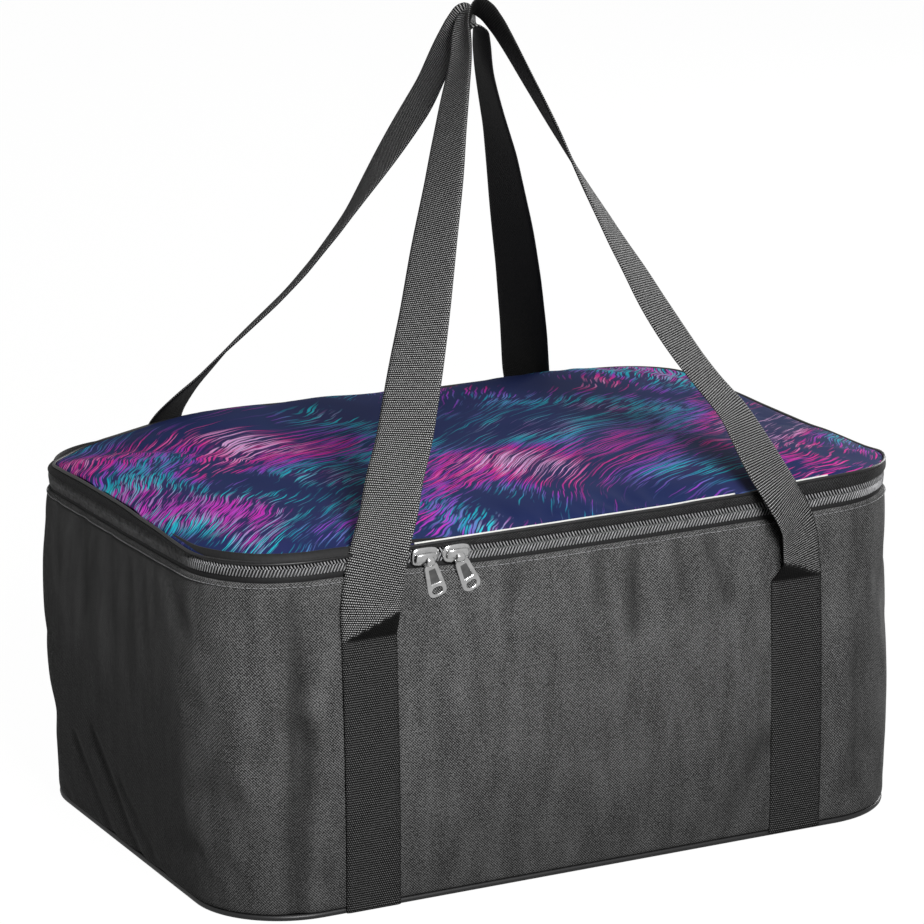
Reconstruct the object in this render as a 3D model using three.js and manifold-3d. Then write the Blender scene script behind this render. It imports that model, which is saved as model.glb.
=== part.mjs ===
import * as THREE from 'three';
import Module from 'manifold-3d';
import { mergeVertices } from 'three/addons/utils/BufferGeometryUtils.js';

// An insulated food delivery bag: foam walls between polyester and foil, a zipped lid and two long
// webbing handles. Millimetres, +Z up. The origin is the centre of the base's underside, +X runs along
// the bag and -Y is its front. "Inset" is the distance inwards from the bag's outer face.

const wasm = await Module();
wasm.setup();

// Body and layers
const bagLength = 526;
const bagDepth = 368;
const cornerRadius = 66;
const zipHeight = 237;
const seatGap = 0.3;
const wallFabric = 1.2;
const wallFoam = 6;
const liningFabric = 0.8;
const baseFabric = 1.2;
const baseBoard = 2.5;
const baseFoam = 5;
const basePiping = 4.3;
const pipingLift = 0.1;

// Zip: the coil's two halves meet at zipHeight
const zipParting = 1.2;
const coilDepth = 2.8;
const coilHeight = 3.5;
const coilInset = 1.4;
const tapeThickness = 1;
const tapeShowing = 3.9;
const tapeTuck = 6.7;
const bandClearance = 0.8;
const zipPastCorner = 7;
const endTabLength = 9.4;

// Lid
const lidBandHeight = 5.7;
const lidFoam = 5.5;
const lidPiping = 2.4;
const lidFabric = 1.2;
const lidBindingHeight = 3.7;
const rimBindingRise = 2;

// Webbing
const webbingWidth = 40;
const webbingThickness = 2.4;
const strapFromSide = 101;
const strapStandoff = 14;
const strapCurlHeight = 19;
const curlTightness = 0.6;
const pivotHeight = 196.7;
const strapBottom = 0.8;
const rimLean = 9;
const rimAboveZip = 15;
const handleRise = 332;
const handleShift = 14;
const handleStack = 12;
const apexRound = 36;
const rimRound = 24;
const twistStart = 0.12;
const twistEnd = 0.88;

// Sliders and pulls
const sliderLength = 16;
const sliderPlate = 1.6;
const sliderRearPlate = 1.2;
const sliderLip = 1.1;
const sliderWeb = 0.6;
const webFront = 6;
const webBack = 2;
const bridgeBar = 1.6;
const bridgeSpan = 11.2;
const bridgePost = 1.4;
const postHeight = 2;
const eyeWall = 1;
const eyePlay = 0.4;
const eyeWidth = 5;
const pullLength = 33;
const pullThickness = 1.8;
const pullNeck = 5;
const pullNeckLength = 1.2;
const pullShoulder = 1.8;
const pullTopWidth = 9.5;
const pullEndWidth = 14;
const pullRecess = 0.5;
const pullFrame = 1.6;
const pullHoleWidth = 8.4;
const pullHoleHeight = 5.9;
const pullTilt = 9;
const leftSliderFromSide = 147;
const rightSliderFromSide = 172;
const leftPullSlant = 6;
const rightPullSlant = 18;

// Steps of the curved stretches
const cornerSteps = 8;
const curlSteps = 10;
const footSteps = 3;
const bendSteps = 6;
const legSteps = 24;
const apexSteps = 12;

// Insets of the layers, from the outside in
const foamOuter = wallFabric + seatGap;
const foamInner = foamOuter + wallFoam;
const liningOuter = foamInner + seatGap;
const liningInner = liningOuter + liningFabric;
const coilInner = coilInset + coilDepth;
const tapeOuter = coilInner + seatGap;
const tapeInner = tapeOuter + tapeThickness;
const bindingOuter = tapeInner + seatGap;
const baseInset = basePiping + seatGap;

// Heights of the layers, from the base up
const boardBottom = baseFabric + seatGap;
const baseFoamBottom = boardBottom + baseBoard + seatGap;
const floorBottom = baseFoamBottom + baseFoam + seatGap;
const wallBottom = pipingLift + basePiping + seatGap;
const lowerCoilTop = zipHeight - zipParting / 2;
const lowerCoilBottom = lowerCoilTop - coilHeight;
const wallTop = lowerCoilBottom - tapeShowing;
const tapeBottom = wallTop - tapeTuck;
const foamTop = tapeBottom - seatGap;
const upperCoilBottom = zipHeight + zipParting / 2;
const upperCoilTop = upperCoilBottom + coilHeight;
const bandBottom = upperCoilTop + bandClearance;
const bandTop = bandBottom + lidBandHeight;
const lidFoamBottom = bandBottom + wallFabric;
const lidFoamTop = lidFoamBottom + lidFoam;
const panelBottom = lidFoamTop + seatGap;
const bindingTop = lidFoamBottom - seatGap;

const rimHeight = zipHeight + rimAboveZip;
const handleTop = rimHeight + handleRise;

const straightHalf = bagLength / 2 - cornerRadius;
const zipEnd = straightHalf - zipPastCorner;

function makeMaterial(color, roughness, metalness = 0) {
  return new THREE.MeshStandardMaterial({ color, roughness, metalness });
}

const finishes = {
  shell: () => makeMaterial(0x2b2b2c, 0.85),
  webbing: () => makeMaterial(0x262627, 0.8),
  foam: () => makeMaterial(0xe4e4df, 0.9),
  foil: () => makeMaterial(0xb9bcc0, 0.35, 0.6),
  print: () => makeMaterial(0x2f3e63, 0.6),
  trim: () => makeMaterial(0x1a1a1b, 0.8),
  pale: () => makeMaterial(0xd8d8d6, 0.6),
  coil: () => makeMaterial(0x202021, 0.45),
  board: () => makeMaterial(0x3a3a3a, 0.7),
  nickel: () => makeMaterial(0xc9cacc, 0.25, 1),
};

// A closed body through a row of outlines with the same number of points. Seen against the direction
// of travel each outline runs anticlockwise. A row that isn't closed is capped with capFaces. The two
// halves of an outline are cut along like diagonals, so that twisted webbing keeps its thickness.
function loft(sections, capFaces) {
  const size = sections[0].length;
  const positions = sections.flat().flatMap((point) => point.toArray());
  const faces = [];
  const joined = capFaces ? sections.length - 1 : sections.length;
  for (let s = 0; s < joined; s++) {
    const here = s * size;
    const next = ((s + 1) % sections.length) * size;
    for (let j = 0; j < size; j++) {
      const k = (j + 1) % size;
      if (j < size / 2) {
        faces.push(here + j, here + k, next + k, here + j, next + k, next + j);
      } else {
        faces.push(here + j, here + k, next + j, here + k, next + k, next + j);
      }
    }
  }
  if (capFaces) {
    const last = (sections.length - 1) * size;
    for (const [a, b, c] of capFaces) {
      faces.push(a, c, b, last + a, last + b, last + c);
    }
  }
  const geometry = new THREE.BufferGeometry();
  geometry.setAttribute('position', new THREE.Float32BufferAttribute(positions, 3));
  geometry.setIndex(faces);
  geometry.computeVertexNormals();
  return geometry;
}

// The bag's rounded outline, as the centre of each corner's arc and the way out from it
function outlineStations() {
  const halfY = bagDepth / 2 - cornerRadius;
  const corners = [[-1, 1, 90], [-1, -1, 180], [1, -1, 270], [1, 1, 360]];
  return corners.flatMap(([sideX, sideY, startAngle]) =>
    Array.from({ length: cornerSteps + 1 }, (unused, step) => ({
      x: sideX * straightHalf,
      y: sideY * halfY,
      angle: THREE.MathUtils.degToRad(startAngle + (90 * step) / cornerSteps),
    })));
}

// A band that follows the outline, from a profile of [inset, height] points. With endX it stops at that
// distance from the middle of the back, and without it the band goes all the way round.
function followOutline(profile, endX) {
  const contour = profile.map(([inset, height]) => new THREE.Vector2(height, -inset));
  if (THREE.ShapeUtils.isClockWise(contour)) {
    contour.reverse();
  }
  const stations = outlineStations();
  if (endX !== undefined) {
    stations.unshift({ ...stations[0], x: -endX });
    stations.push({ ...stations[stations.length - 1], x: endX });
  }
  const sections = stations.map(({ x, y, angle }) => contour.map((point) => {
    const radius = cornerRadius + point.y;
    return new THREE.Vector3(x + radius * Math.cos(angle), y + radius * Math.sin(angle), point.x);
  }));
  return loft(sections, endX === undefined ? null : THREE.ShapeUtils.triangulateShape(contour, []));
}

function rectangleProfile(outerInset, innerInset, low, high) {
  return [[outerInset, low], [outerInset, high], [innerInset, high], [innerInset, low]];
}

// An eight-sided cord profile, flush with the bag's outer face and standing on the given height
function cordProfile(low, diameter) {
  const sides = 8;
  const reach = diameter / 2 / Math.cos(Math.PI / sides);
  return Array.from({ length: sides }, (unused, side) => {
    const angle = ((side + 0.5) * Math.PI * 2) / sides;
    return [diameter / 2 + reach * Math.cos(angle), low + diameter / 2 + reach * Math.sin(angle)];
  });
}

// A flat sheet in the bag's outline
function flatSheet(inset, low, thickness) {
  const shape = new THREE.Shape();
  const halfY = bagDepth / 2 - cornerRadius;
  const radius = cornerRadius - inset;
  shape.absarc(straightHalf, halfY, radius, 0, Math.PI / 2);
  shape.absarc(-straightHalf, halfY, radius, Math.PI / 2, Math.PI);
  shape.absarc(-straightHalf, -halfY, radius, Math.PI, Math.PI * 1.5);
  shape.absarc(straightHalf, -halfY, radius, Math.PI * 1.5, Math.PI * 2);
  const geometry = new THREE.ExtrudeGeometry(shape, {
    depth: thickness, bevelEnabled: false, curveSegments: cornerSteps / 2,
  });
  return geometry.translate(0, 0, low);
}

// Webbing along a row of points, with the direction of its width at each
function webbing(points, widths) {
  const quad = [[0, 1, 2], [0, 2, 3]];
  const sections = points.map((point, index) => {
    const before = points[Math.max(index - 1, 0)];
    const after = points[Math.min(index + 1, points.length - 1)];
    const travel = after.clone().sub(before).normalize();
    const across = widths[index];
    const through = travel.clone().cross(across).normalize();
    return [[-1, -1], [1, -1], [1, 1], [-1, 1]].map(([side, face]) => point.clone()
      .addScaledVector(across, (side * webbingWidth) / 2)
      .addScaledVector(through, (face * webbingThickness) / 2));
  });
  return loft(sections, quad);
}

function makeMesh(name, geometry, finish) {
  const mesh = new THREE.Mesh(geometry, finishes[finish]());
  mesh.name = name;
  return mesh;
}

function toSolid(geometry) {
  const bare = geometry.clone();
  bare.deleteAttribute('normal');
  bare.deleteAttribute('uv');
  const merged = mergeVertices(bare);
  return new wasm.Manifold(new wasm.Mesh({
    numProp: 3,
    vertProperties: merged.getAttribute('position').array,
    triVerts: Uint32Array.from(merged.getIndex().array),
  }));
}

function toGeometry(solid) {
  const mesh = solid.getMesh();
  const geometry = new THREE.BufferGeometry();
  geometry.setAttribute('position', new THREE.BufferAttribute(mesh.vertProperties, 3));
  geometry.setIndex(new THREE.BufferAttribute(mesh.triVerts, 1));
  geometry.computeVertexNormals();
  return geometry;
}

// A box from its lowest and highest corners
function boxBetween(low, high) {
  const size = high.map((value, axis) => value - low[axis]);
  const geometry = new THREE.BoxGeometry(...size);
  return geometry.translate(...low.map((value, axis) => value + size[axis] / 2));
}

// Base, walls and lining
function makeShell() {
  const shell = new THREE.Group();
  const wallProfile = [
    [0, wallBottom], [0, wallTop], [coilInner, wallTop], [coilInner, wallTop - wallFabric],
    [wallFabric, wallTop - wallFabric], [wallFabric, wallBottom],
  ];
  const hemBottom = wallTop - wallFabric - seatGap;
  const foamProfile = [
    [foamOuter, wallBottom], [foamOuter, hemBottom], [coilInner, hemBottom], [coilInner, foamTop],
    [foamInner, foamTop], [foamInner, wallBottom],
  ];
  shell.add(
    makeMesh('base_panel', flatSheet(baseInset, 0, baseFabric), 'shell'),
    makeMesh('base_piping', followOutline(cordProfile(pipingLift, basePiping)), 'trim'),
    makeMesh('base_board', flatSheet(baseInset, boardBottom, baseBoard), 'board'),
    makeMesh('base_foam', flatSheet(liningOuter, baseFoamBottom, baseFoam), 'foam'),
    makeMesh('floor_lining', flatSheet(liningInner + seatGap, floorBottom, liningFabric), 'foil'),
    makeMesh('outer_wall', followOutline(wallProfile), 'shell'),
    makeMesh('wall_foam', followOutline(foamProfile), 'foam'),
    makeMesh('wall_lining', followOutline(
      rectangleProfile(liningOuter, liningInner, floorBottom, wallTop + rimBindingRise)), 'foil'),
    makeMesh('rim_binding', followOutline(
      rectangleProfile(bindingOuter, foamInner, tapeBottom, wallTop + rimBindingRise)), 'trim'),
  );
  return shell;
}

// The zip's lower half, the tabs over its ends and the lower half of the fabric hinge
function makeLowerZip() {
  const zip = new THREE.Group();
  const back = bagDepth / 2;
  const tabEnd = zipEnd - seatGap;
  const tabStart = tabEnd - endTabLength;
  const tab = boxBetween(
    [tabStart, back - coilInner, wallTop + seatGap], [tabEnd, back - seatGap, lowerCoilTop]);
  const hingeEnd = tabStart - seatGap;
  zip.add(
    makeMesh('zip_tape_lower', followOutline(
      rectangleProfile(tapeOuter, tapeInner, tapeBottom, lowerCoilTop - seatGap), zipEnd), 'trim'),
    makeMesh('zip_coil_lower', followOutline(
      rectangleProfile(coilInset, coilInner, lowerCoilBottom, lowerCoilTop), zipEnd), 'coil'),
    makeMesh('zip_end_tab_right', tab, 'trim'),
    makeMesh('zip_end_tab_left', tab.clone().translate(-tabStart - tabEnd, 0, 0), 'trim'),
    makeMesh('hinge_fabric_lower', boxBetween(
      [-hingeEnd, back - wallFabric, wallTop + seatGap], [hingeEnd, back, zipHeight - seatGap]), 'shell'),
  );
  return zip;
}

// The lid with the zip's upper half and the upper half of the fabric hinge
function makeLid() {
  const lid = new THREE.Group();
  const back = bagDepth / 2;
  const hingeEnd = zipEnd - seatGap;
  const bandProfile = [
    [0, bandBottom], [0, bandTop], [wallFabric, bandTop], [wallFabric, bandBottom + wallFabric],
    [coilInner, bandBottom + wallFabric], [coilInner, bandBottom],
  ];
  lid.add(
    makeMesh('lid_panel', flatSheet(lidPiping + seatGap, panelBottom, lidFabric), 'print'),
    makeMesh('lid_piping', followOutline(cordProfile(bandTop + seatGap, lidPiping)), 'pale'),
    makeMesh('lid_band', followOutline(bandProfile), 'shell'),
    makeMesh('lid_foam', flatSheet(bindingOuter, lidFoamBottom, lidFoam), 'foam'),
    makeMesh('lid_lining', flatSheet(
      liningInner + seatGap, bindingTop - liningFabric, liningFabric), 'foil'),
    makeMesh('lid_binding', followOutline(
      rectangleProfile(bindingOuter, liningInner, bindingTop - lidBindingHeight, bindingTop)), 'trim'),
    makeMesh('zip_tape_upper', followOutline(
      rectangleProfile(tapeOuter, tapeInner, upperCoilBottom + seatGap, bandTop - seatGap), zipEnd), 'trim'),
    makeMesh('zip_coil_upper', followOutline(
      rectangleProfile(coilInset, coilInner, upperCoilBottom, upperCoilTop), zipEnd), 'coil'),
    makeMesh('hinge_fabric_upper', boxBetween(
      [-hingeEnd, back - wallFabric, zipHeight + seatGap], [hingeEnd, back, bandBottom - seatGap]), 'shell'),
  );
  return lid;
}

// A strip sewn flat up the wall, whose top curls out to where the free handle starts
function sewnStrip() {
  const seat = -(bagDepth / 2 + seatGap + webbingThickness / 2);
  const out = -(bagDepth / 2 + strapStandoff);
  const top = pivotHeight - seatGap;
  const curlTop = top - webbingThickness / 2;
  const curlBottom = curlTop - strapCurlHeight;
  const pull = strapCurlHeight * curlTightness;
  const curl = new THREE.CubicBezierCurve3(
    new THREE.Vector3(0, seat, curlBottom),
    new THREE.Vector3(0, seat, curlBottom + pull),
    new THREE.Vector3(0, out, curlTop - pull),
    new THREE.Vector3(0, out, curlTop),
  );
  const points = [
    new THREE.Vector3(0, seat, strapBottom), ...curl.getPoints(curlSteps), new THREE.Vector3(0, out, top),
  ];
  return webbing(points, points.map(() => new THREE.Vector3(1, 0, 0)));
}

// Replaces the corner of a path by a smooth bend that starts and ends at a distance from it
function softCorner(before, corner, after, reach, steps) {
  const start = corner.clone().sub(before).setLength(reach).negate().add(corner);
  const end = after.clone().sub(corner).setLength(reach).add(corner);
  return new THREE.QuadraticBezierCurve3(start, corner, end).getPoints(steps);
}

// One handle, hung up over its top: each leg faces out at the bag and turns a quarter on its way up
function handleLoop(apexX, apexZ, apexReach) {
  const strapX = bagLength / 2 - strapFromSide;
  const out = -(bagDepth / 2 + strapStandoff);
  const footZ = pivotHeight + seatGap;
  const apex = new THREE.Vector3(apexX, 0, apexZ);
  const [leftFoot, rightFoot] = [-1, 1].map((side) => new THREE.Vector3(side * strapX, out, footZ));
  const rimX = strapX - rimLean;
  const [leftRim, rightRim] = [-1, 1].map((side) => new THREE.Vector3(side * rimX, out, rimHeight));
  const leftBend = softCorner(leftFoot, leftRim, apex, rimRound, bendSteps);
  const topBend = softCorner(leftRim, apex, rightRim, apexReach, apexSteps);
  const rightBend = softCorner(apex, rightRim, rightFoot, rimRound, bendSteps);
  const leftLeg = new THREE.LineCurve3(leftBend[leftBend.length - 1], topBend[0]).getPoints(legSteps);
  const rightLeg = new THREE.LineCurve3(topBend[topBend.length - 1], rightBend[0]).getPoints(legSteps);
  const leftStart = new THREE.LineCurve3(leftFoot, leftBend[0]).getPoints(footSteps);
  const rightEnd = new THREE.LineCurve3(rightBend[rightBend.length - 1], rightFoot).getPoints(footSteps);
  const points = [
    ...leftStart.slice(0, -1), ...leftBend.slice(0, -1), ...leftLeg.slice(0, -1), ...topBend.slice(0, -1),
    ...rightLeg.slice(0, -1), ...rightBend.slice(0, -1), ...rightEnd,
  ];
  const outward = new THREE.Vector3(0, -1, 0);
  const widths = points.map((point, index) => {
    const before = points[Math.max(index - 1, 0)];
    const after = points[Math.min(index + 1, points.length - 1)];
    const travel = after.clone().sub(before).normalize();
    const normal = outward.clone().addScaledVector(travel, -outward.dot(travel)).normalize();
    const inner = travel.clone().cross(normal);
    const rise = (point.z - rimHeight) / (apexZ - rimHeight);
    const twist = THREE.MathUtils.smoothstep(rise, twistStart, twistEnd) * (Math.PI / 2);
    const width = inner.multiplyScalar(Math.cos(twist)).addScaledVector(normal, Math.sin(twist));
    const square = THREE.MathUtils.smoothstep(point.z, footZ, rimHeight);
    const flat = new THREE.Vector3(Math.sign(width.x) || 1, 0, 0);
    return flat.lerp(width, square).normalize();
  });
  return webbing(points, widths);
}

// The strips and the handle of one long side, drawn at the front
function makeStraps(side, apexX, apexZ, apexReach, leftName, rightName) {
  const straps = new THREE.Group();
  const strapX = bagLength / 2 - strapFromSide;
  const strip = sewnStrip();
  const leftStrip = makeMesh(`${leftName}_strap`, strip, 'webbing');
  leftStrip.position.x = -strapX;
  const rightStrip = makeMesh(`${rightName}_strap`, strip.clone(), 'webbing');
  rightStrip.position.x = strapX;
  const handle = makeMesh(`${side}_handle`, handleLoop(apexX, apexZ, apexReach), 'webbing');
  straps.add(leftStrip, rightStrip, handle);
  return straps;
}

// Heights and depths in a slider are measured from the zip's line and the bag's front face
const barRadius = bridgeBar / 2;
const eyeRadius = barRadius + eyePlay + eyeWall;
const plateFront = coilInset - seatGap - sliderPlate;
const barDepth = plateFront - eyePlay - eyeRadius;

function makeSliderBody() {
  const half = sliderLength / 2;
  const lipTop = lowerCoilBottom - seatGap - zipHeight;
  const bottom = lipTop - sliderLip;
  const top = bandBottom - seatGap * 2 - zipHeight;
  const rearTop = bindingTop - lidBindingHeight - seatGap - zipHeight;
  const plateBack = plateFront + sliderPlate;
  const rearBack = bindingOuter + sliderRearPlate;
  const pieces = [
    boxBetween([-half, plateFront, bottom], [half, plateBack, top]),
    boxBetween([-half, plateFront, bottom], [half, coilInner, lipTop]),
    boxBetween([-webFront, plateFront, -sliderWeb / 2], [webBack, rearBack, sliderWeb / 2]),
    boxBetween([-half, bindingOuter, bottom], [half, rearBack, rearTop]),
    new THREE.CylinderGeometry(barRadius, barRadius, bridgeSpan - bridgePost, 12)
      .rotateZ(Math.PI / 2).translate(0, barDepth, 0),
  ];
  for (const side of [-1, 1]) {
    const [near, far] = [bridgeSpan / 2 - bridgePost, bridgeSpan / 2].map((reach) => side * reach);
    pieces.push(boxBetween(
      [Math.min(near, far), barDepth - barRadius, -postHeight / 2],
      [Math.max(near, far), plateBack, postHeight / 2]));
  }
  return toGeometry(pieces.map(toSolid).reduce((whole, piece) => whole.add(piece)));
}

// A pull curls round the slider's bar and hangs below it. Its slant is in its own plane.
function makePullBody(slant) {
  const neckEnd = -eyeRadius - pullNeckLength;
  const shoulder = neckEnd - pullShoulder;
  const endRadius = pullEndWidth / 2;
  const endCentre = endRadius - pullLength;
  const shape = new THREE.Shape();
  shape.moveTo(-pullNeck / 2, 0);
  shape.lineTo(-pullNeck / 2, neckEnd);
  shape.lineTo(-pullTopWidth / 2, shoulder);
  shape.lineTo(-endRadius, endCentre);
  shape.absarc(0, endCentre, endRadius, Math.PI, Math.PI * 2);
  shape.lineTo(pullTopWidth / 2, shoulder);
  shape.lineTo(pullNeck / 2, neckEnd);
  shape.lineTo(pullNeck / 2, 0);
  const hole = new THREE.Path();
  hole.absellipse(0, endCentre, pullHoleWidth / 2, pullHoleHeight / 2, 0, Math.PI * 2);
  shape.holes.push(hole);
  const tongue = new THREE.ExtrudeGeometry(shape, {
    depth: pullThickness, bevelEnabled: false, curveSegments: 7,
  });
  tongue.translate(0, 0, -pullThickness / 2).rotateX(Math.PI / 2);
  const recess = boxBetween(
    [pullFrame - pullTopWidth / 2, -pullThickness, endCentre + pullHoleHeight / 2 + pullFrame],
    [pullTopWidth / 2 - pullFrame, pullRecess - pullThickness / 2, shoulder - pullFrame]);
  const eye = new THREE.CylinderGeometry(eyeRadius, eyeRadius, eyeWidth, 16).rotateZ(Math.PI / 2);
  const boreRadius = barRadius + eyePlay;
  const bore = new THREE.CylinderGeometry(boreRadius, boreRadius, bridgeSpan, 16).rotateZ(Math.PI / 2);
  const plate = toGeometry(toSolid(tongue).subtract(toSolid(recess)));
  plate.rotateY(THREE.MathUtils.degToRad(-slant));
  return toGeometry(toSolid(plate).add(toSolid(eye)).subtract(toSolid(bore)));
}

function makeSlider(side, centreX, slant) {
  const slider = new THREE.Group();
  slider.position.set(centreX, -bagDepth / 2, zipHeight);
  const pull = makeMesh(`${side}_pull`, makePullBody(slant), 'nickel');
  pull.position.y = barDepth;
  pull.rotation.x = THREE.MathUtils.degToRad(-pullTilt);
  slider.add(makeMesh(`${side}_slider`, makeSliderBody(), 'nickel'), pull);
  return slider;
}

const rearStraps = makeStraps('rear', -handleShift, handleTop - handleStack, apexRound - handleStack,
  'rear_right', 'rear_left');
rearStraps.rotation.z = Math.PI;

const group = new THREE.Group();
group.add(
  makeShell(),
  makeLowerZip(),
  makeLid(),
  makeStraps('front', handleShift, handleTop, apexRound, 'front_left', 'front_right'),
  rearStraps,
  makeSlider('left', leftSliderFromSide - bagLength / 2, leftPullSlant),
  makeSlider('right', rightSliderFromSide - bagLength / 2, rightPullSlant),
);

export default group;
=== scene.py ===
import math

import bmesh
import bpy
import numpy as np
from mathutils import Matrix, Vector, noise


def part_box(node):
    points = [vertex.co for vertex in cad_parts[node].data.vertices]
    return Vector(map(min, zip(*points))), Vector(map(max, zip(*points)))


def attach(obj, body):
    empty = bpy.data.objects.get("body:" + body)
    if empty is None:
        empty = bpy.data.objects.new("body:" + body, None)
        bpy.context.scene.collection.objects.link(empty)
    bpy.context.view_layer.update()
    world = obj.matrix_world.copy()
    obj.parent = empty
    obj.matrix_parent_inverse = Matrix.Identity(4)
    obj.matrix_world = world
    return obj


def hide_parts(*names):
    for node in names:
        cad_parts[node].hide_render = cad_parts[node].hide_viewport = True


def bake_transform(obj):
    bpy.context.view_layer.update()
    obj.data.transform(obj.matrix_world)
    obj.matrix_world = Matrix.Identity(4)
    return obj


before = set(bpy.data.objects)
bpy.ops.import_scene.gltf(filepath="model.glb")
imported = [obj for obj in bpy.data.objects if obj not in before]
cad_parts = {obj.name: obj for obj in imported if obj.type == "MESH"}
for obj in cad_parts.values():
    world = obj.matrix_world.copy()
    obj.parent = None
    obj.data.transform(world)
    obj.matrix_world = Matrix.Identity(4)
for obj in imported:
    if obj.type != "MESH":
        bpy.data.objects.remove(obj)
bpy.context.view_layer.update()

scene = bpy.context.scene
mm = 0.001
fullTurn = 2 * math.pi


# Small helpers

def linearColour(hexColour):
    channels = [int(hexColour[i:i + 2], 16) / 255 for i in (1, 3, 5)]
    return [c / 12.92 if c <= 0.04045 else ((c + 0.055) / 1.055) ** 2.4 for c in channels] + [1.0]


# An input is a value, a hex colour, a socket, or a node, which then gives its first live output
def addNode(tree, kind, inputs=None, **settings):
    node = tree.nodes.new(kind)
    for name, value in settings.items():
        setattr(node, name, value)
    for socket, value in (inputs or {}).items():
        if isinstance(value, bpy.types.Node):
            value = next(output for output in value.outputs if output.enabled)
        if isinstance(value, bpy.types.NodeSocket):
            tree.links.new(value, node.inputs[socket])
        else:
            node.inputs[socket].default_value = linearColour(value) if isinstance(value, str) else value
    return node


def calc(tree, operation, *values, **settings):
    return addNode(tree, "ShaderNodeMath", dict(enumerate(values)), operation=operation, **settings)


# Spreads a value between two new ends
def ranged(tree, value, low, high, fromLow=0.0, fromHigh=1.0, **settings):
    return addNode(tree, "ShaderNodeMapRange", {
        "Value": value, "From Min": fromLow, "From Max": fromHigh, "To Min": low, "To Max": high}, **settings)


def noiseField(tree, place, scale, detail, **inputs):
    return addNode(tree, "ShaderNodeTexNoise", {"Vector": place, "Scale": scale, "Detail": detail, **inputs})


def mixed(tree, factor, first, second, **settings):
    return addNode(tree, "ShaderNodeMix", {"Factor": factor, "A": first, "B": second}, data_type="RGBA",
                   **settings)


def ramped(tree, factor, stops):
    ramp = addNode(tree, "ShaderNodeValToRGB", {0: factor})
    while len(ramp.color_ramp.elements) < len(stops):
        ramp.color_ramp.elements.new(0.5)
    for element, (position, colour) in zip(ramp.color_ramp.elements, stops):
        element.position = position
        element.color = linearColour(colour)
    return ramp


def attributeOf(tree, name):
    return addNode(tree, "ShaderNodeAttribute", attribute_name=name).outputs["Fac"]


def newMaterial(name):
    material = bpy.data.materials.new(name)
    material.use_nodes = True
    material.node_tree.nodes.clear()
    return material, material.node_tree


# The map of real lengths, and its two axes
def lengthsOf(tree):
    uv = addNode(tree, "ShaderNodeUVMap", uv_map="lengths")
    return uv, *addNode(tree, "ShaderNodeSeparateXYZ", {0: uv}).outputs[:2]


def objectPlace(tree):
    return addNode(tree, "ShaderNodeTexCoord").outputs["Object"]


# The surface that ends a material, with a bump where a height is given
def finishMaterial(material, inputs, height=None, strength=0.0, distance=0.0):
    tree = material.node_tree
    if height:
        inputs["Normal"] = addNode(tree, "ShaderNodeBump", {"Strength": strength, "Distance": distance,
                                                            "Height": height})
    shader = addNode(tree, "ShaderNodeBsdfPrincipled", inputs)
    addNode(tree, "ShaderNodeOutputMaterial", {"Surface": shader})
    return material


def smoothStep(value, low, high):
    t = np.clip((np.asarray(value, float) - low) / (high - low), 0, 1)
    return t * t * (3 - 2 * t)


# Angles that go once round without meeting their start
def onceRound(count):
    return np.linspace(0, fullTurn, count, endpoint=False)


def unit(vectors):
    return vectors / np.linalg.norm(vectors, axis=-1, keepdims=True)


def runLengths(points):
    return np.concatenate([[0], np.cumsum(np.linalg.norm(np.diff(points, axis=0), axis=1))])


def newPiece(name, vertices, faces):
    mesh = bpy.data.meshes.new(name)
    mesh.from_pydata([tuple(map(float, v)) for v in vertices], [], faces)
    mesh.update()
    mesh.shade_smooth()
    piece = bpy.data.objects.new(name, mesh)
    scene.collection.objects.link(piece)
    return piece


def pointsOf(mesh):
    flat = np.empty(len(mesh.vertices) * 3)
    mesh.vertices.foreach_get("co", flat)
    return flat.reshape(-1, 3)


def movePoints(piece, points):
    piece.data.vertices.foreach_set("co", points.ravel())
    piece.data.update()


def addAttribute(piece, name, values):
    piece.data.attributes.new(name, "FLOAT", "POINT").data.foreach_set("value", values)


# Strips across a closed ring from back to front, so that no vertex is a pole
def discFaces(first, columns, upward):
    half = columns // 2
    for i in range(columns // 4):
        for strip in ((i, i + 1, half - i - 1, half - i),
                      (half + i, half + i + 1, columns - i - 1, (columns - i) % columns)):
            yield [first + c for c in dict.fromkeys(strip if upward else strip[::-1])]


# Faces that close a grid: at its two sides, at its first and last rows, or as discs over its end rings
def capFaces(rows, columns, caps):
    last = (rows - 1) * columns
    if caps == "sides":
        first = range(0, rows * columns, columns)
        return [list(first), [corner + columns - 1 for corner in reversed(first)]]
    if caps == "ends":
        return [list(reversed(range(columns))), list(range(last, last + columns))]
    return [*discFaces(0, columns, False), *discFaces(last, columns, True)] if caps == "discs" else []


# Adds faces after a piece's own. Their edges come last as well, and cloth settles by the order of edges
def addFaces(piece, faces):
    if not faces:
        return
    mesh = bmesh.new()
    mesh.from_mesh(piece.data)
    mesh.verts.ensure_lookup_table()
    for face in faces:
        mesh.faces.new([mesh.verts[corner] for corner in face])
    mesh.to_mesh(piece.data)
    mesh.free()
    piece.data.shade_smooth()


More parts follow.
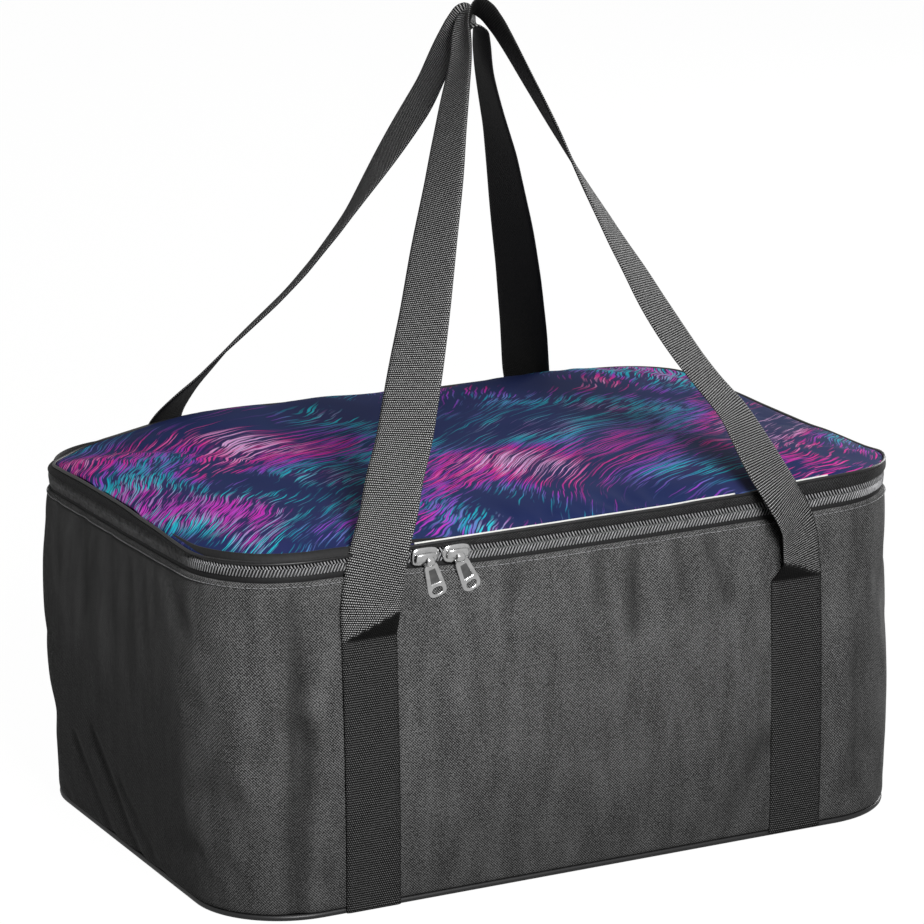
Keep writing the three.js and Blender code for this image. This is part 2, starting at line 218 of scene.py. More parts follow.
# A skin over a grid of points. The UV map holds real lengths in metres, along the row and up the column
def gridPiece(name, grid, closeRows=False, closeColumns=True, alongRow=None, upColumn=None, caps=None):
    grid = np.asarray(grid, float)
    rows, columns = grid.shape[:2]

    def meanLengths(axis):
        steps = np.linalg.norm(np.diff(grid, axis=axis, append=grid.take([0], axis=axis)), axis=2)
        return np.concatenate([[0], np.cumsum(steps.mean(axis=1 - axis))])

    alongRow = meanLengths(1) if alongRow is None else alongRow
    upColumn = meanLengths(0) if upColumn is None else upColumn
    r, c = np.indices((rows - (not closeRows), columns - (not closeColumns))).reshape(2, -1, 1)
    r, c = r + (0, 0, 1, 1), c + (0, 1, 1, 0)
    piece = newPiece(name, grid.reshape(-1, 3), ((r % rows) * columns + c % columns).tolist())
    corners = np.stack([alongRow[c], upColumn[r]], axis=-1)
    piece.data.uv_layers.new(name="lengths").data.foreach_set("uv", corners.ravel())
    addFaces(piece, capFaces(rows, columns, caps))
    return piece


# Lays the map of lengths flat, as on cloth cut in one sheet
def planarUv(piece):
    corner = np.empty(len(piece.data.loops), int)
    piece.data.loops.foreach_get("vertex_index", corner)
    piece.data.uv_layers["lengths"].data.foreach_set("uv", pointsOf(piece.data)[corner, :2].ravel())


# Many short rounded rods in one mesh, for zip teeth and stitches
def rodsPiece(name, starts, ends, radius, sides=6):
    axis = unit(ends - starts)
    across = unit(np.cross(axis, np.where(np.abs(axis[:, 2:3]) < 0.8, [[0, 0, 1.0]], [[1.0, 0, 0]])))
    other = np.cross(axis, across)
    points = []
    # Which end, how far past it and how thick, in radii
    rings = [(0, -0.95, 0.3), (0, -0.6, 0.8), (0, 0, 1), (1, 0, 1), (1, 0.6, 0.8), (1, 0.95, 0.3)]
    for atEnd, push, size in rings:
        centre = (ends if atEnd else starts) + axis * push * radius
        points += [centre + (across * math.cos(a) + other * math.sin(a)) * size * radius
                   for a in onceRound(sides)]
    faces = []
    for base in range(0, len(starts) * len(points), len(points)):
        for low in range(base, base + (len(rings) - 1) * sides, sides):
            for side in range(sides):
                after = (side + 1) % sides
                faces.append((low + side, low + after, low + sides + after, low + sides + side))
        faces.append([base + side for side in reversed(range(sides))])
        faces.append([base + len(points) - sides + side for side in range(sides)])
    return newPiece(name, np.stack(points, axis=1).reshape(-1, 3), faces)


def subdivided(piece):
    finer = piece.modifiers.new("finer", "SUBSURF")
    finer.levels = finer.render_levels = 1
    finer.uv_smooth = "PRESERVE_BOUNDARIES"


def sharpEdges(piece):
    piece.data.set_sharp_from_angle(angle=math.radians(40))


# Turns every face outwards, after welding points that lie closer than the given distance
def tidyNormals(piece, weld=0.0):
    mesh = bmesh.new()
    mesh.from_mesh(piece.data)
    if weld:
        bmesh.ops.remove_doubles(mesh, verts=mesh.verts, dist=weld)
    bmesh.ops.recalc_face_normals(mesh, faces=mesh.faces)
    mesh.to_mesh(piece.data)
    mesh.free()
    piece.data.shade_smooth()


def dress(piece, material, body=None, stands=()):
    piece.data.materials.clear()
    piece.data.materials.append(material)
    if stands:
        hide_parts(*stands)
    if body:
        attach(piece, body)


# Camera, at the photograph's angle

cameraView = {
    "azimuth": -26.0, "elevation": 14.94, "roll": -0.86, "distance": 3.2716, "aim": (0, 0, 0.245),
    "focalPixels": 4642, "frame": 924, "centre": (463.4, 463.2), "sensor": 36, "clipEnd": 30,
}


def placeCamera(view):
    azimuth, elevation, roll = (math.radians(view[name]) for name in ("azimuth", "elevation", "roll"))
    back = Vector((math.sin(azimuth) * math.cos(elevation), -math.cos(azimuth) * math.cos(elevation),
                   math.sin(elevation)))
    right = Vector((0, 0, 1)).cross(back).normalized()
    up = back.cross(right)
    right, up = (right * math.cos(roll) + up * math.sin(roll), up * math.cos(roll) - right * math.sin(roll))
    lens = bpy.data.cameras.new("camera")
    lens.sensor_width = view["sensor"]
    lens.lens = view["focalPixels"] * view["sensor"] / view["frame"]
    lens.shift_x = (view["frame"] / 2 - view["centre"][0]) / view["frame"]
    lens.shift_y = (view["centre"][1] - view["frame"] / 2) / view["frame"]
    lens.clip_end = view["clipEnd"]
    camera = bpy.data.objects.new("camera", lens)
    axes = Matrix((right, up, back)).transposed().to_4x4()
    camera.matrix_world = Matrix.Translation(Vector(view["aim"]) + back * view["distance"]) @ axes
    scene.collection.objects.link(camera)
    scene.camera = camera


placeCamera(cameraView)
print("camera placed")


# Studio

studio = {
    "floorRadius": 9, "floorSides": 96, "floorColour": "#373736", "floorLift": 0.985, "floorGloss": 0.45,
    "ambient": 0.022, "mirrored": 0.5, "aim": (0, 0, 0.15),
    # Soft boxes: place, size and power
    "lamps": {"keyBox": ((-0.30, -1.55, 1.15), 0.45, 34.5), "fillBox": ((-0.3, -0.9, 2.6), 1.2, 3),
              "backBox": ((2.5, 1.5, 0.8), 1.2, 38)},
}


def buildStudio(settings):
    for name, (place, size, power) in settings["lamps"].items():
        box = bpy.data.lights.new(name, "AREA")
        box.size = size
        box.energy = power
        lamp = bpy.data.objects.new(name, box)
        lamp.location = place
        aim = Vector(settings["aim"]) - Vector(place)
        lamp.rotation_euler = aim.to_track_quat("-Z", "Y").to_euler()
        scene.collection.objects.link(lamp)
    world = bpy.data.worlds.new("studio")
    world.use_nodes = True
    tree = world.node_tree
    tree.nodes.clear()
    path = addNode(tree, "ShaderNodeLightPath")
    level = ranged(tree, path.outputs["Is Glossy Ray"], settings["ambient"], settings["mirrored"])
    level = calc(tree, "MAXIMUM", level, path.outputs["Is Camera Ray"])
    glow = addNode(tree, "ShaderNodeBackground", {"Color": "#ffffff", "Strength": level})
    addNode(tree, "ShaderNodeOutputWorld", {"Surface": glow})
    scene.world = world

    ring = [(settings["floorRadius"] * math.cos(a), settings["floorRadius"] * math.sin(a), 0)
            for a in onceRound(settings["floorSides"])]
    floor = newPiece("studioFloor", ring, [range(len(ring))])
    # Matt studio paper. Its own faint glow, for the camera and for mirrored rays, lifts it to the white of
    # the backdrop
    material, tree = newMaterial("mattStudioPaper")
    path = addNode(tree, "ShaderNodeLightPath")
    gloss = calc(tree, "MULTIPLY", path.outputs["Is Glossy Ray"], settings["floorGloss"])
    lift = calc(tree, "MULTIPLY_ADD", path.outputs["Is Camera Ray"], settings["floorLift"], gloss)
    paper = addNode(tree, "ShaderNodeBsdfDiffuse", {"Color": settings["floorColour"]})
    glow = addNode(tree, "ShaderNodeEmission", {"Color": "#ffffff", "Strength": lift})
    both = addNode(tree, "ShaderNodeAddShader", {0: paper, 1: glow})
    addNode(tree, "ShaderNodeOutputMaterial", {"Surface": both})
    floor.data.materials.append(material)


buildStudio(studio)
scene.view_settings.view_transform = "Standard"
print("studio built")


# Materials

# Coated polyester twill: fine diagonal ribs crossed by the yarn, matt, its threads catching the light
# unevenly. Painted shade darkens the wall's cloth in its creases and towards the floor
def polyesterTwill(name, light, dark, ribPitch=1.3):
    material, tree = newMaterial(name)
    uv, along, up = lengthsOf(tree)
    shift = calc(tree, "MULTIPLY", noiseField(tree, uv, 120.0, 3.0), 0.4 * mm)
    waves = []
    for sign, pitch in (("ADD", ribPitch), ("SUBTRACT", ribPitch * 1.3)):
        wavy = calc(tree, "ADD", calc(tree, sign, along, up), shift)
        waves.append(calc(tree, "SINE", calc(tree, "MULTIPLY", wavy, fullTurn / (pitch * mm * math.sqrt(2)))))
    weave = calc(tree, "MULTIPLY_ADD", waves[1], 0.55, waves[0])
    slack = addNode(tree, "ShaderNodeMapping", {"Vector": uv, "Scale": (1, 0.3, 1)})
    speck = ranged(tree, noiseField(tree, uv, 950.0, 2.0), -0.34, 0.34, 0.35, 0.65, clamp=False)
    patch = ranged(tree, noiseField(tree, slack, 75.0, 5.0), -0.16, 0.16, 0.3, 0.7)
    nap = ranged(tree, noiseField(tree, uv, 340.0, 2.0), -0.12, 0.12, 0.3, 0.7, clamp=False)
    tone = ranged(tree, weave, -0.36, 1.02, -1.55, 1.55, clamp=False)
    tone = calc(tree, "ADD", calc(tree, "ADD", tone, speck), patch)
    tone = calc(tree, "ADD", tone, nap, use_clamp=True)
    # Painted shade from the wall's attribute: darker in its creases and towards the floor
    tone = calc(tree, "MULTIPLY", tone, ranged(tree, attributeOf(tree, "paintedShade"), 1.0, 0.42))
    return finishMaterial(material, {
        "Base Color": mixed(tree, tone, dark, light), "Roughness": 0.8, "IOR": 1.46,
        "Specular IOR Level": 0.3, "Sheen Weight": 0.05, "Sheen Roughness": 0.5}, tone, 0.5, 0.0003)


# Polypropylene webbing: rows of fat weft ribs crossed by the warp. Each crossing is painted pale as a lit
# grain, a painted highlight on the black weave.
# The real 1.6 mm ribs are just coarse enough to show
def ribbedWebbing(name, light, dark, ribPitch=1.62, grainPitch=1.5):
    material, tree = newMaterial(name)
    uv, across, up = lengthsOf(tree)
    drift = ranged(tree, noiseField(tree, uv, 260.0, 2.0), -0.12, 0.12)
    rows = calc(tree, "ADD", calc(tree, "MULTIPLY", up, 1 / (ribPitch * mm)), drift)
    grains = calc(tree, "MULTIPLY_ADD", calc(tree, "FLOOR", rows), 0.5,
                  calc(tree, "MULTIPLY", across, 1 / (grainPitch * mm)))
    ridge, grain = (calc(tree, "ABSOLUTE", calc(tree, "SINE", calc(tree, "MULTIPLY", phase, math.pi)))
                    for phase in (rows, grains))
    lump = calc(tree, "MULTIPLY", ridge, ranged(tree, grain, 0.42, 1.0))
    # Painted highlight: the rib crossings are lit in the colour
    lit = ranged(tree, lump, 0.0, 1.0, 0.58, 0.90, interpolation_type="SMOOTHSTEP")
    fuzz = ranged(tree, noiseField(tree, uv, 700.0, 2.0), 0.72, 1.08, 0.3, 0.7)
    lit = calc(tree, "MULTIPLY", lit, fuzz, use_clamp=True)
    # Painted shade: the sewn strips, which lie flat to the wall, and the shadow under the fold just over them
    # are darkened, and the inner face is darkened near black
    shade = calc(tree, "MULTIPLY", *(ranged(tree, attributeOf(tree, label), 1.0, share)
                                     for label, share in (("strapShade", 0.29), ("inner", 0.03))))
    lit = calc(tree, "MULTIPLY", lit, shade)
    return finishMaterial(material, {
        "Base Color": mixed(tree, lit, dark, light), "Roughness": 0.7, "IOR": 1.49,
        "Specular IOR Level": 0.15}, lump, 0.6, 0.0005)


# Woven polyester tape, as used for zip tape and binding: close ribs across its run, dull and even
def wovenTape(name, light, dark, ribPitch=0.8):
    material, tree = newMaterial(name)
    uv, along, up = lengthsOf(tree)
    ribs, rows = (calc(tree, "SINE", calc(tree, "MULTIPLY", axis, fullTurn / (ribPitch * mm)))
                  for axis in (along, up))
    fuzz = noiseField(tree, uv, 420.0, 3.0)
    tone = calc(tree, "MULTIPLY_ADD", calc(tree, "MULTIPLY", ribs, rows), 0.2, fuzz)
    return finishMaterial(material, {
        "Base Color": mixed(tree, tone, dark, light), "Roughness": 0.7, "IOR": 1.46,
        "Specular IOR Level": 0.4}, tone, 0.4, 0.0002)


# Nylon zip coil: smooth drawn monofilament, satin. Its tone varies at random from dark grey to pale grey, and
# the pale grey is painted highlight on the black coil
def nylonCoil(name, light, dark):
    material, tree = newMaterial(name)
    fuzz = noiseField(tree, objectPlace(tree), 300.0, 2.0)
    return finishMaterial(material, {
        "Base Color": mixed(tree, fuzz, dark, light), "Roughness": ranged(tree, fuzz, 0.22, 0.40),
        "IOR": 1.53})


# Polyester sewing thread: twisted, so that each stitch is banded
def sewingThread(name, light, dark):
    material, tree = newMaterial(name)
    twist = addNode(tree, "ShaderNodeTexWave", {"Vector": objectPlace(tree), "Scale": 900.0,
                                                "Distortion": 2.0}, bands_direction="DIAGONAL")
    return finishMaterial(material, {
        "Base Color": mixed(tree, twist.outputs["Fac"], dark, light), "Roughness": 0.5, "IOR": 1.5})


# Nickel-plated zinc casting: bright, with faint casting waves and handling scratches
def platedNickel(name, bright, shade, roughLow, roughHigh):
    material, tree = newMaterial(name)
    place = objectPlace(tree)
    stretch = addNode(tree, "ShaderNodeMapping", {"Vector": place, "Scale": (1, 1, 0.12)})
    scratch = noiseField(tree, stretch, 2600.0, 3.0)
    wave = noiseField(tree, place, 220.0, 1.0)
    return finishMaterial(material, {
        "Base Color": mixed(tree, wave, shade, bright), "Metallic": 1.0,
        "Roughness": ranged(tree, scratch, roughLow, roughHigh, 0.3, 0.7)}, wave, 0.2, 0.0002)


# Aluminised film on foam: bright, finely crinkled, pressed in diamonds that glint at their edges
def aluminisedFilm(name, colour, diamond=24.0):
    material, tree = newMaterial(name)
    uv, along, up = lengthsOf(tree)
    plus, minus = (
        calc(tree, "ABSOLUTE", calc(tree, "SINE", calc(tree, "MULTIPLY", calc(tree, sign, along, up),
                                                       math.pi / (diamond * mm))))
        for sign in ("ADD", "SUBTRACT"))
    quilt = calc(tree, "POWER", calc(tree, "MINIMUM", plus, minus), 0.35)
    crinkle = noiseField(tree, uv, 90.0, 6.0, Roughness=0.65)
    height = calc(tree, "MULTIPLY_ADD", crinkle, 0.5, quilt)
    return finishMaterial(material, {
        "Base Color": colour, "Metallic": 0.85, "Roughness": ranged(tree, crinkle, 0.30, 0.52)},
        height, 0.8, 0.0022)


# Printed polyester for the lid: a navy ground under thin brushed hairs that sway in loose tufts.
# The hairs are 27 to 60 mm by about 2 mm, the size of strokes that such prints have
def printedPolyester(name, ground, deep, glows, inks):
    material, tree = newMaterial(name)
    uv = addNode(tree, "ShaderNodeUVMap", uv_map="lengths")
    warped = uv
    for scale, amount, detail in ((4.2, 0.16, 0.0), (17.0, 0.020, 1.0), (60.0, 0.0035, 1.0)):
        sway = noiseField(tree, uv, scale, detail).outputs["Color"]
        sway = addNode(tree, "ShaderNodeVectorMath", {0: sway, 1: (0.5, 0.5, 0.5)}, operation="SUBTRACT")
        sway = addNode(tree, "ShaderNodeVectorMath", {0: sway, "Scale": amount}, operation="SCALE")
        warped = addNode(tree, "ShaderNodeVectorMath", {0: warped, 1: sway}, operation="ADD")
    turned = addNode(tree, "ShaderNodeMapping", {"Vector": warped, "Rotation": (0, 0, math.radians(-38))})
    run, rise = addNode(tree, "ShaderNodeSeparateXYZ", {0: turned}).outputs[:2]
    clusters = noiseField(tree, warped, 9.0, 2.0)
    inkField = noiseField(tree, uv, 6.5, 1.0)
    wet = ranged(tree, clusters, 0.0, 0.42, 0.40, 0.64)
    picture = mixed(tree, wet, mixed(tree, clusters, deep, ground), ramped(tree, inkField, glows))
    # Three layers of hairs: length and width in mm, a seed, and how full a tuft must be to show them
    for length, width, seed, share in ((46, 1.7, 1.7, 0.62), (27, 1.2, 8.3, 0.66), (60, 2.3, 15.1, 0.70)):
        across = calc(tree, "MULTIPLY_ADD", rise, 1 / (width * mm), seed)
        row = calc(tree, "FLOOR", across)
        luck = addNode(tree, "ShaderNodeTexWhiteNoise", {"W": row}, noise_dimensions="1D")
        along = calc(tree, "MULTIPLY_ADD", run, 1 / (length * mm), luck.outputs["Value"])
        key = addNode(tree, "ShaderNodeCombineXYZ", {0: calc(tree, "FLOOR", along), 1: row, 2: seed})
        chance = addNode(tree, "ShaderNodeTexWhiteNoise", {"Vector": key},
                         noise_dimensions="3D").outputs["Value"]
        taper, middle = (
            calc(tree, "SINE", calc(tree, "MULTIPLY", calc(tree, "FRACT", place), math.pi))
            for place in (along, across))
        dash = ranged(tree, calc(tree, "MULTIPLY", taper, middle), 0.0, 1.0, 0.42, 0.74,
                      interpolation_type="SMOOTHSTEP")
        wanted = calc(tree, "MULTIPLY_ADD", chance, 0.30, clusters)
        wanted = ranged(tree, wanted, 0.0, 1.0, share, share + 0.12)
        ink = ramped(tree, calc(tree, "MULTIPLY_ADD", chance, 0.16, inkField), inks)
        picture = mixed(tree, calc(tree, "MULTIPLY", dash, wanted), picture, ink)
    return finishMaterial(material, {
        "Base Color": picture, "Roughness": 0.7, "IOR": 1.46, "Specular IOR Level": 0.08},
        noiseField(tree, uv, 800.0, 2.0), 0.15, 0.0002)


# Soft PVC piping cord: smooth and slightly mottled
def pvcPiping(name, colour):
    material, tree = newMaterial(name)
    tone = ranged(tree, noiseField(tree, objectPlace(tree), 160.0, 4.0), 0.75, 1.1)
    return finishMaterial(material, {
        "Base Color": mixed(tree, 1.0, colour, tone, blend_type="MULTIPLY"), "Roughness": 0.45, "IOR": 1.53})


twill = polyesterTwill("coatedPolyesterTwill", "#828282", "#0c0c0c")
bandTwill = polyesterTwill("lidBandTwill", "#3a3a3b", "#040404")
webbing = ribbedWebbing("polypropyleneWebbing", "#c4c4c4", "#020202")
tape = wovenTape("wovenPolyesterTape", "#232324", "#0b0b0c")
coil = nylonCoil("drawnNylonCoil", "#d6d6d8", "#4c4c4e")
thread = sewingThread("twistedPolyesterThread", "#b4b4b6", "#1d1d1e")
strapThread = sewingThread("bondedStrapThread", "#2c2c2e", "#1d1d1e")
nickel = platedNickel("nickelPlatedZinc", "#f6f6f6", "#c6c6c6", 0.10, 0.24)
panelNickel = platedNickel("sandblastedNickelPanel", "#8a8a8a", "#626262", 0.30, 0.46)
foil = aluminisedFilm("aluminisedFilm", "#a2a4a7")
blackPiping = pvcPiping("blackPvcPiping", "#1b1b1c")
whitePiping = pvcPiping("whitePvcPiping", "#f2f2ef")
printed = printedPolyester(
    "printedPolyester", "#34447a", "#141a40",
    [(0.36, "#3a1a52"), (0.47, "#4b1659"), (0.54, "#0d4157"), (0.62, "#321b63"), (0.72, "#5c1650")],
    [(0.38, "#c45fe0"), (0.48, "#dd2fc4"), (0.55, "#2fd6e6"), (0.60, "#1fa6c8"), (0.66, "#9a48d8"),
     (0.74, "#f42ca0"), (0.82, "#f3bdf2")])
print("materials made")


# The bag's outline

outline = {"halfLength": 0.263, "halfDepth": 0.184, "corner": 0.066, "stations": 432}


# Points on the outline at given distances from the middle of the back, anticlockwise seen from above, with
# the way out at each. A run is its length, its start, and its direction or the angle where its arc begins
def outlineAt(distances):
    longSide, deepSide, corner = outline["halfLength"], outline["halfDepth"], outline["corner"]
    straightX, straightY, arc = longSide - corner, deepSide - corner, corner * math.pi / 2
    runs = [
        (straightX, (0, deepSide), (-1, 0)), (arc, (-straightX, straightY), 90),
        (2 * straightY, (-longSide, straightY), (0, -1)), (arc, (-straightX, -straightY), 180),
        (2 * straightX, (-straightX, -deepSide), (1, 0)), (arc, (straightX, -straightY), 270),
        (2 * straightY, (longSide, -straightY), (0, 1)), (arc, (straightX, straightY), 0),
        (straightX, (straightX, deepSide), (-1, 0)),
    ]
    points, normals = [], []
    for rest in distances:
        for length, start, way in runs:
            if rest <= length:
                break
            rest -= length
        if isinstance(way, tuple):
            normals.append((way[1], -way[0]))
            points.append((start[0] + way[0] * rest, start[1] + way[1] * rest))
        else:
            turn = math.radians(way) + rest / corner
            normals.append((math.cos(turn), math.sin(turn)))
            points.append((start[0] + math.cos(turn) * corner, start[1] + math.sin(turn) * corner))
    return np.array(points), np.array(normals)


outlineLength = 4 * (outline["halfLength"] + outline["halfDepth"] - 2 * outline["corner"]) \
    + fullTurn * outline["corner"]
ringLengths = np.linspace(0, outlineLength, outline["stations"] + 1)
wholeRing = outlineAt(ringLengths[:-1])
ringPoints, ringOut = wholeRing

wallShape = {
    "bottom": 0.0047, "top": 0.229, "foamInner": 0.0075, "rows": 36, "innerRows": 16, "ruffle": 0.0006,
    "frontBulge": 0.0062, "backBulge": 0.005, "leftBulge": 0.0075, "rightBulge": 0.0025,
    "climbFrom": 0.150, "climbShare": 0.8, "creaseGain": 1.4,
    # What the padding can't move: the foot, the rim, and the cloth under the straps
    "pinnedBelow": 0.009, "pinnedAbove": 0.2215, "strapX": 0.162, "strapReach": 0.024,
    "strapFrom": 0.15,
    # Painted shade: the cloth is darkened fully in a crease this deep, and in part towards the floor
    "fullShadeDepth": 0.0030, "floorShade": 0.52, "floorShadeHeight": 0.150,
    # Soft creases in mm: two ends in space, half-width and depth
    "creases": [
        (-216, -184, 232, -210, -184, 120, 6.6, 3.6), (-210, -184, 130, -218, -184, 4, 7.6, 4.0),
        (-45, -184, 226, -60, -188, 196, 5.2, 2.6), (12, -184, 226, 8, -188, 188, 5.8, 3.0),
        (38, -184, 226, 34, -188, 168, 6.2, 3.2), (70, -184, 226, 74, -188, 184, 5.5, 2.6),
        (94, -184, 224, 108, -188, 178, 7.0, 2.8), (-263, 110, 225, -268, 95, 175, 6.0, 1.4),
        (-263, 60, 225, -268, 50, 165, 7.0, 1.8), (-263, 10, 225, -268, 2, 175, 6.0, 1.4),
        (-265, 80, 60, -262, 30, 6, 5.0, 2.4), (-266, 45, 75, -262, -20, 6, 5.6, 3.0),
        (-262, 0, 50, -260, -60, 6, 5.0, 2.2), (120, 184, 226, 105, 188, 170, 7.0, 1.6),
        (-80, 184, 226, -70, 188, 175, 7.0, 1.8), (10, 184, 226, 0, 188, 190, 6.0, 1.4),
        (263, 40, 226, 266, 50, 170, 7.0, 1.5), (263, -50, 226, 266, -56, 185, 6.0, 1.4),
        (215, -180, 225, 214, -182, 30, 9.0, 1.0), (140, -186, 70, 110, -188, 30, 10.0, 1.6),
    ],
}


def segmentDistance(points, start, end):
    run = end - start
    t = np.clip(((points - start) @ run) / (run @ run), 0, 1)
    return np.linalg.norm(points - (start + t[..., None] * run), axis=-1)


def wallHeight(points):
    return np.clip((points[..., 2] - wallShape["bottom"]) / (wallShape["top"] - wallShape["bottom"]), 0, 1)


def creaseDepth(points):
    fade = np.sin(np.pi * np.clip(wallHeight(points), 0.02, 0.98)) ** 0.35
    deep = np.zeros(points.shape[:-1])
    for crease in np.array(wallShape["creases"]) * mm:
        reach, depth = crease[6:]
        deep += depth * np.exp(-(segmentDistance(points, crease[:3], crease[3:6]) / reach) ** 2)
    return deep * fade * wallShape["creaseGain"]


# How far the padded wall stands out of the frame's straight face
def wallOut(points, outward, creases=True):
    height = wallHeight(points)
    full = np.sin(np.pi * height ** 0.9) ** 0.75
    high = np.sin(np.pi * height ** 1.6) ** 0.9
    # Each end's bulge: axis and sign of its way out, falloff round the corner, and reach along its face
    out = 0
    for name, axis, sign, falloff, reach, power, shape in (
            ("frontBulge", 1, -1, 2, 0.225, 2, full), ("backBulge", 1, 1, 2, 0.225, 2, full),
            ("leftBulge", 0, -1, 1.2, 0.215, 4, high), ("rightBulge", 0, 1, 1.2, 0.215, 4, full)):
        span = np.clip(1 - (points[..., 1 - axis] / reach) ** power, 0, 1)
        out = out + np.clip(sign * outward[..., axis], 0, 1) ** falloff * wallShape[name] * span * shape
    return out - creaseDepth(points) if creases else out


def softNoise(points, size, seed):
    return np.array([noise.noise(Vector(p) / size + Vector((seed, seed * 0.7, seed * 1.3))) for p in points])


def flatRing(inset, z, ring=wholeRing):
    return np.column_stack([ring[0] - ring[1] * inset, np.full(len(ring[0]), z)])


# A ring that follows the padding
def ringAt(inset, z, ruffle=0.0, creases=True, ring=wholeRing):
    points = flatRing(inset, z, ring)
    outward = np.column_stack([ring[1], np.zeros(len(points))])
    out = wallOut(points, outward, creases)
    if ruffle:
        out = out + softNoise(points, 0.045, 3.1) * ruffle
    return points + outward * out[:, None]


# A skin from closed rings, closed round its own section
def hoopPiece(name, rows):
    return gridPiece(name, rows, closeRows=True, alongRow=ringLengths)


# A closed section swept along an open run
def ribbonPiece(name, rows, steps):
    return gridPiece(name, rows, closeRows=True, closeColumns=False, alongRow=steps, caps="sides")


# Rings for a section given in mm, as inset and height
def ringsOf(profile):
    return [flatRing(inset * mm, z * mm) for inset, z in profile]


def cordProfile(inset, z, radius, count):
    return [(inset - radius * math.cos(a), z + radius * math.sin(a)) for a in onceRound(count)]


# The lid's edge isn't level: the cloth is pulled up by its padding and droops at a corner. Each row is a
# place on the lid and how far the edge stands above its level there, in mm
lidShape = {
    "edge": 0.2492, "crown": 0.0042, "crownReach": 0.060, "overhang": 0.0007,
    "cornerPlace": (-0.240, 0.164), "cornerPull": 0.0085, "cornerReach": 0.030,
    "bandLow": 0.2417, "cord": 0.0011, "cordInset": 0.0002,
    # Rings keep the outline's form up to the first inset and would meet in a line at the second
    "shrinkFrom": 0.046, "shrinkTo": 0.163, "wave": 0.0012, "waveSize": 0.07,
    "paleEdges": {"paleEdgeLong": (-0.126, 0.116), "paleEdgeShort": (0.150, 0.189)},
    "paleCord": 0.0006, "paleInset": 0.0010, "paleRise": 0.0015,
    "sway": [
        (-263, 60, 2.6), (-263, 110, 0.8), (-254, 150, -4.0), (-236, 172, -5.6), (-212, 182, -5.2),
        (-188, 184, -1.6), (-160, 184, 4.0), (-130, 184, 6.6), (-95, 184, 7.0), (-50, 184, 5.2),
        (10, 184, 3.4), (80, 184, 1.8), (150, 184, 1.8), (230, 170, 0), (263, 100, -2.2),
        (263, 0, -2.6), (263, -90, -1.2), (245, -160, 2.2), (208, -183, 4.6), (167, -184, 2.8),
        (116, -184, 0), (40, -184, -1.0), (-60, -184, -1.2), (-150, -184, -1.4), (-197, -184, -1.6),
        (-225, -176, -1.8), (-250, -152, -1.8), (-263, -112, -0.6), (-263, -60, 1.4), (-263, 0, 3.0),
    ],
}
# The zip climbs at the left front corner, where the lid's weight drags it. Rows as above
zipClimb = [
    (-263, 118, -0.2), (-263, 60, 0.6), (-263, 0, 1.2), (-263, -60, 2.4), (-263, -105, 4.2),
    (-250, -150, 6.2), (-225, -176, 6.4), (-197, -184, 6.2), (-150, -184, 5.6), (-122, -184, 4.4),
    (-95, -184, 1.6), (-70, -184, 0), (-30, -184, 0), (60, -184, 0), (150, -184, 0.4), (210, -182, 1.8),
    (250, -150, 2.6), (263, -100, 2.0), (263, 0, 0.5), (230, 175, 0), (100, 184, 0), (-100, 184, 0),
    (-230, 175, 0),
]
swayReach = 0.022


# Blends the rows of a table by nearness. The least weight decides far from every row
def blendedRows(points, table, least):
    spots = np.array(table) * mm
    gap = ((points[:, None, :2] - spots[:, :2]) ** 2).sum(axis=-1)
    weight = np.exp(-gap / (2 * swayReach ** 2)) + least
    return (weight * spots[:, 2]).sum(axis=-1) / weight.sum(axis=-1)


def lidSway(points):
    return blendedRows(points, lidShape["sway"], 1e-6)


def climbAt(points):
    return blendedRows(points, zipClimb, 1e-9)


# Steps a mesh through Cloth with inner pressure, then keeps only moves up to the cap
def clothSettle(piece, pinned, pressure, cap, shrink, frames=20):
    before = pointsOf(piece.data)
    group = piece.vertex_groups.new(name="pinned")
    group.add([int(index) for index in np.nonzero(pinned)[0]], 1.0, "REPLACE")
    cloth = piece.modifiers.new("settle", "CLOTH")
    for name, value in {
            "quality": 5, "mass": 0.2, "use_pressure": True, "uniform_pressure_force": pressure,
            "tension_stiffness": 25, "compression_stiffness": 25, "shear_stiffness": 12,
            "bending_stiffness": 1.5, "shrink_min": shrink, "vertex_group_mass": "pinned"}.items():
        setattr(cloth.settings, name, value)
    cloth.settings.effector_weights.gravity = 0
    cloth.collision_settings.use_collision = False
    cloth.collision_settings.use_self_collision = False
    for step in range(1, frames + 1):
        scene.frame_set(step)
    after = pointsOf(piece.evaluated_get(bpy.context.evaluated_depsgraph_get()).data)
    piece.modifiers.remove(cloth)
    piece.vertex_groups.remove(group)
    scene.frame_set(1)
    move = after - before
    length = np.maximum(np.linalg.norm(move, axis=1, keepdims=True), 1e-9)
    allowed = cap * np.tanh(length / cap)
    movePoints(piece, before + move * allowed / length)
    print(piece.name, "settled, most moved", round(float(allowed.max() / mm), 2), "mm")


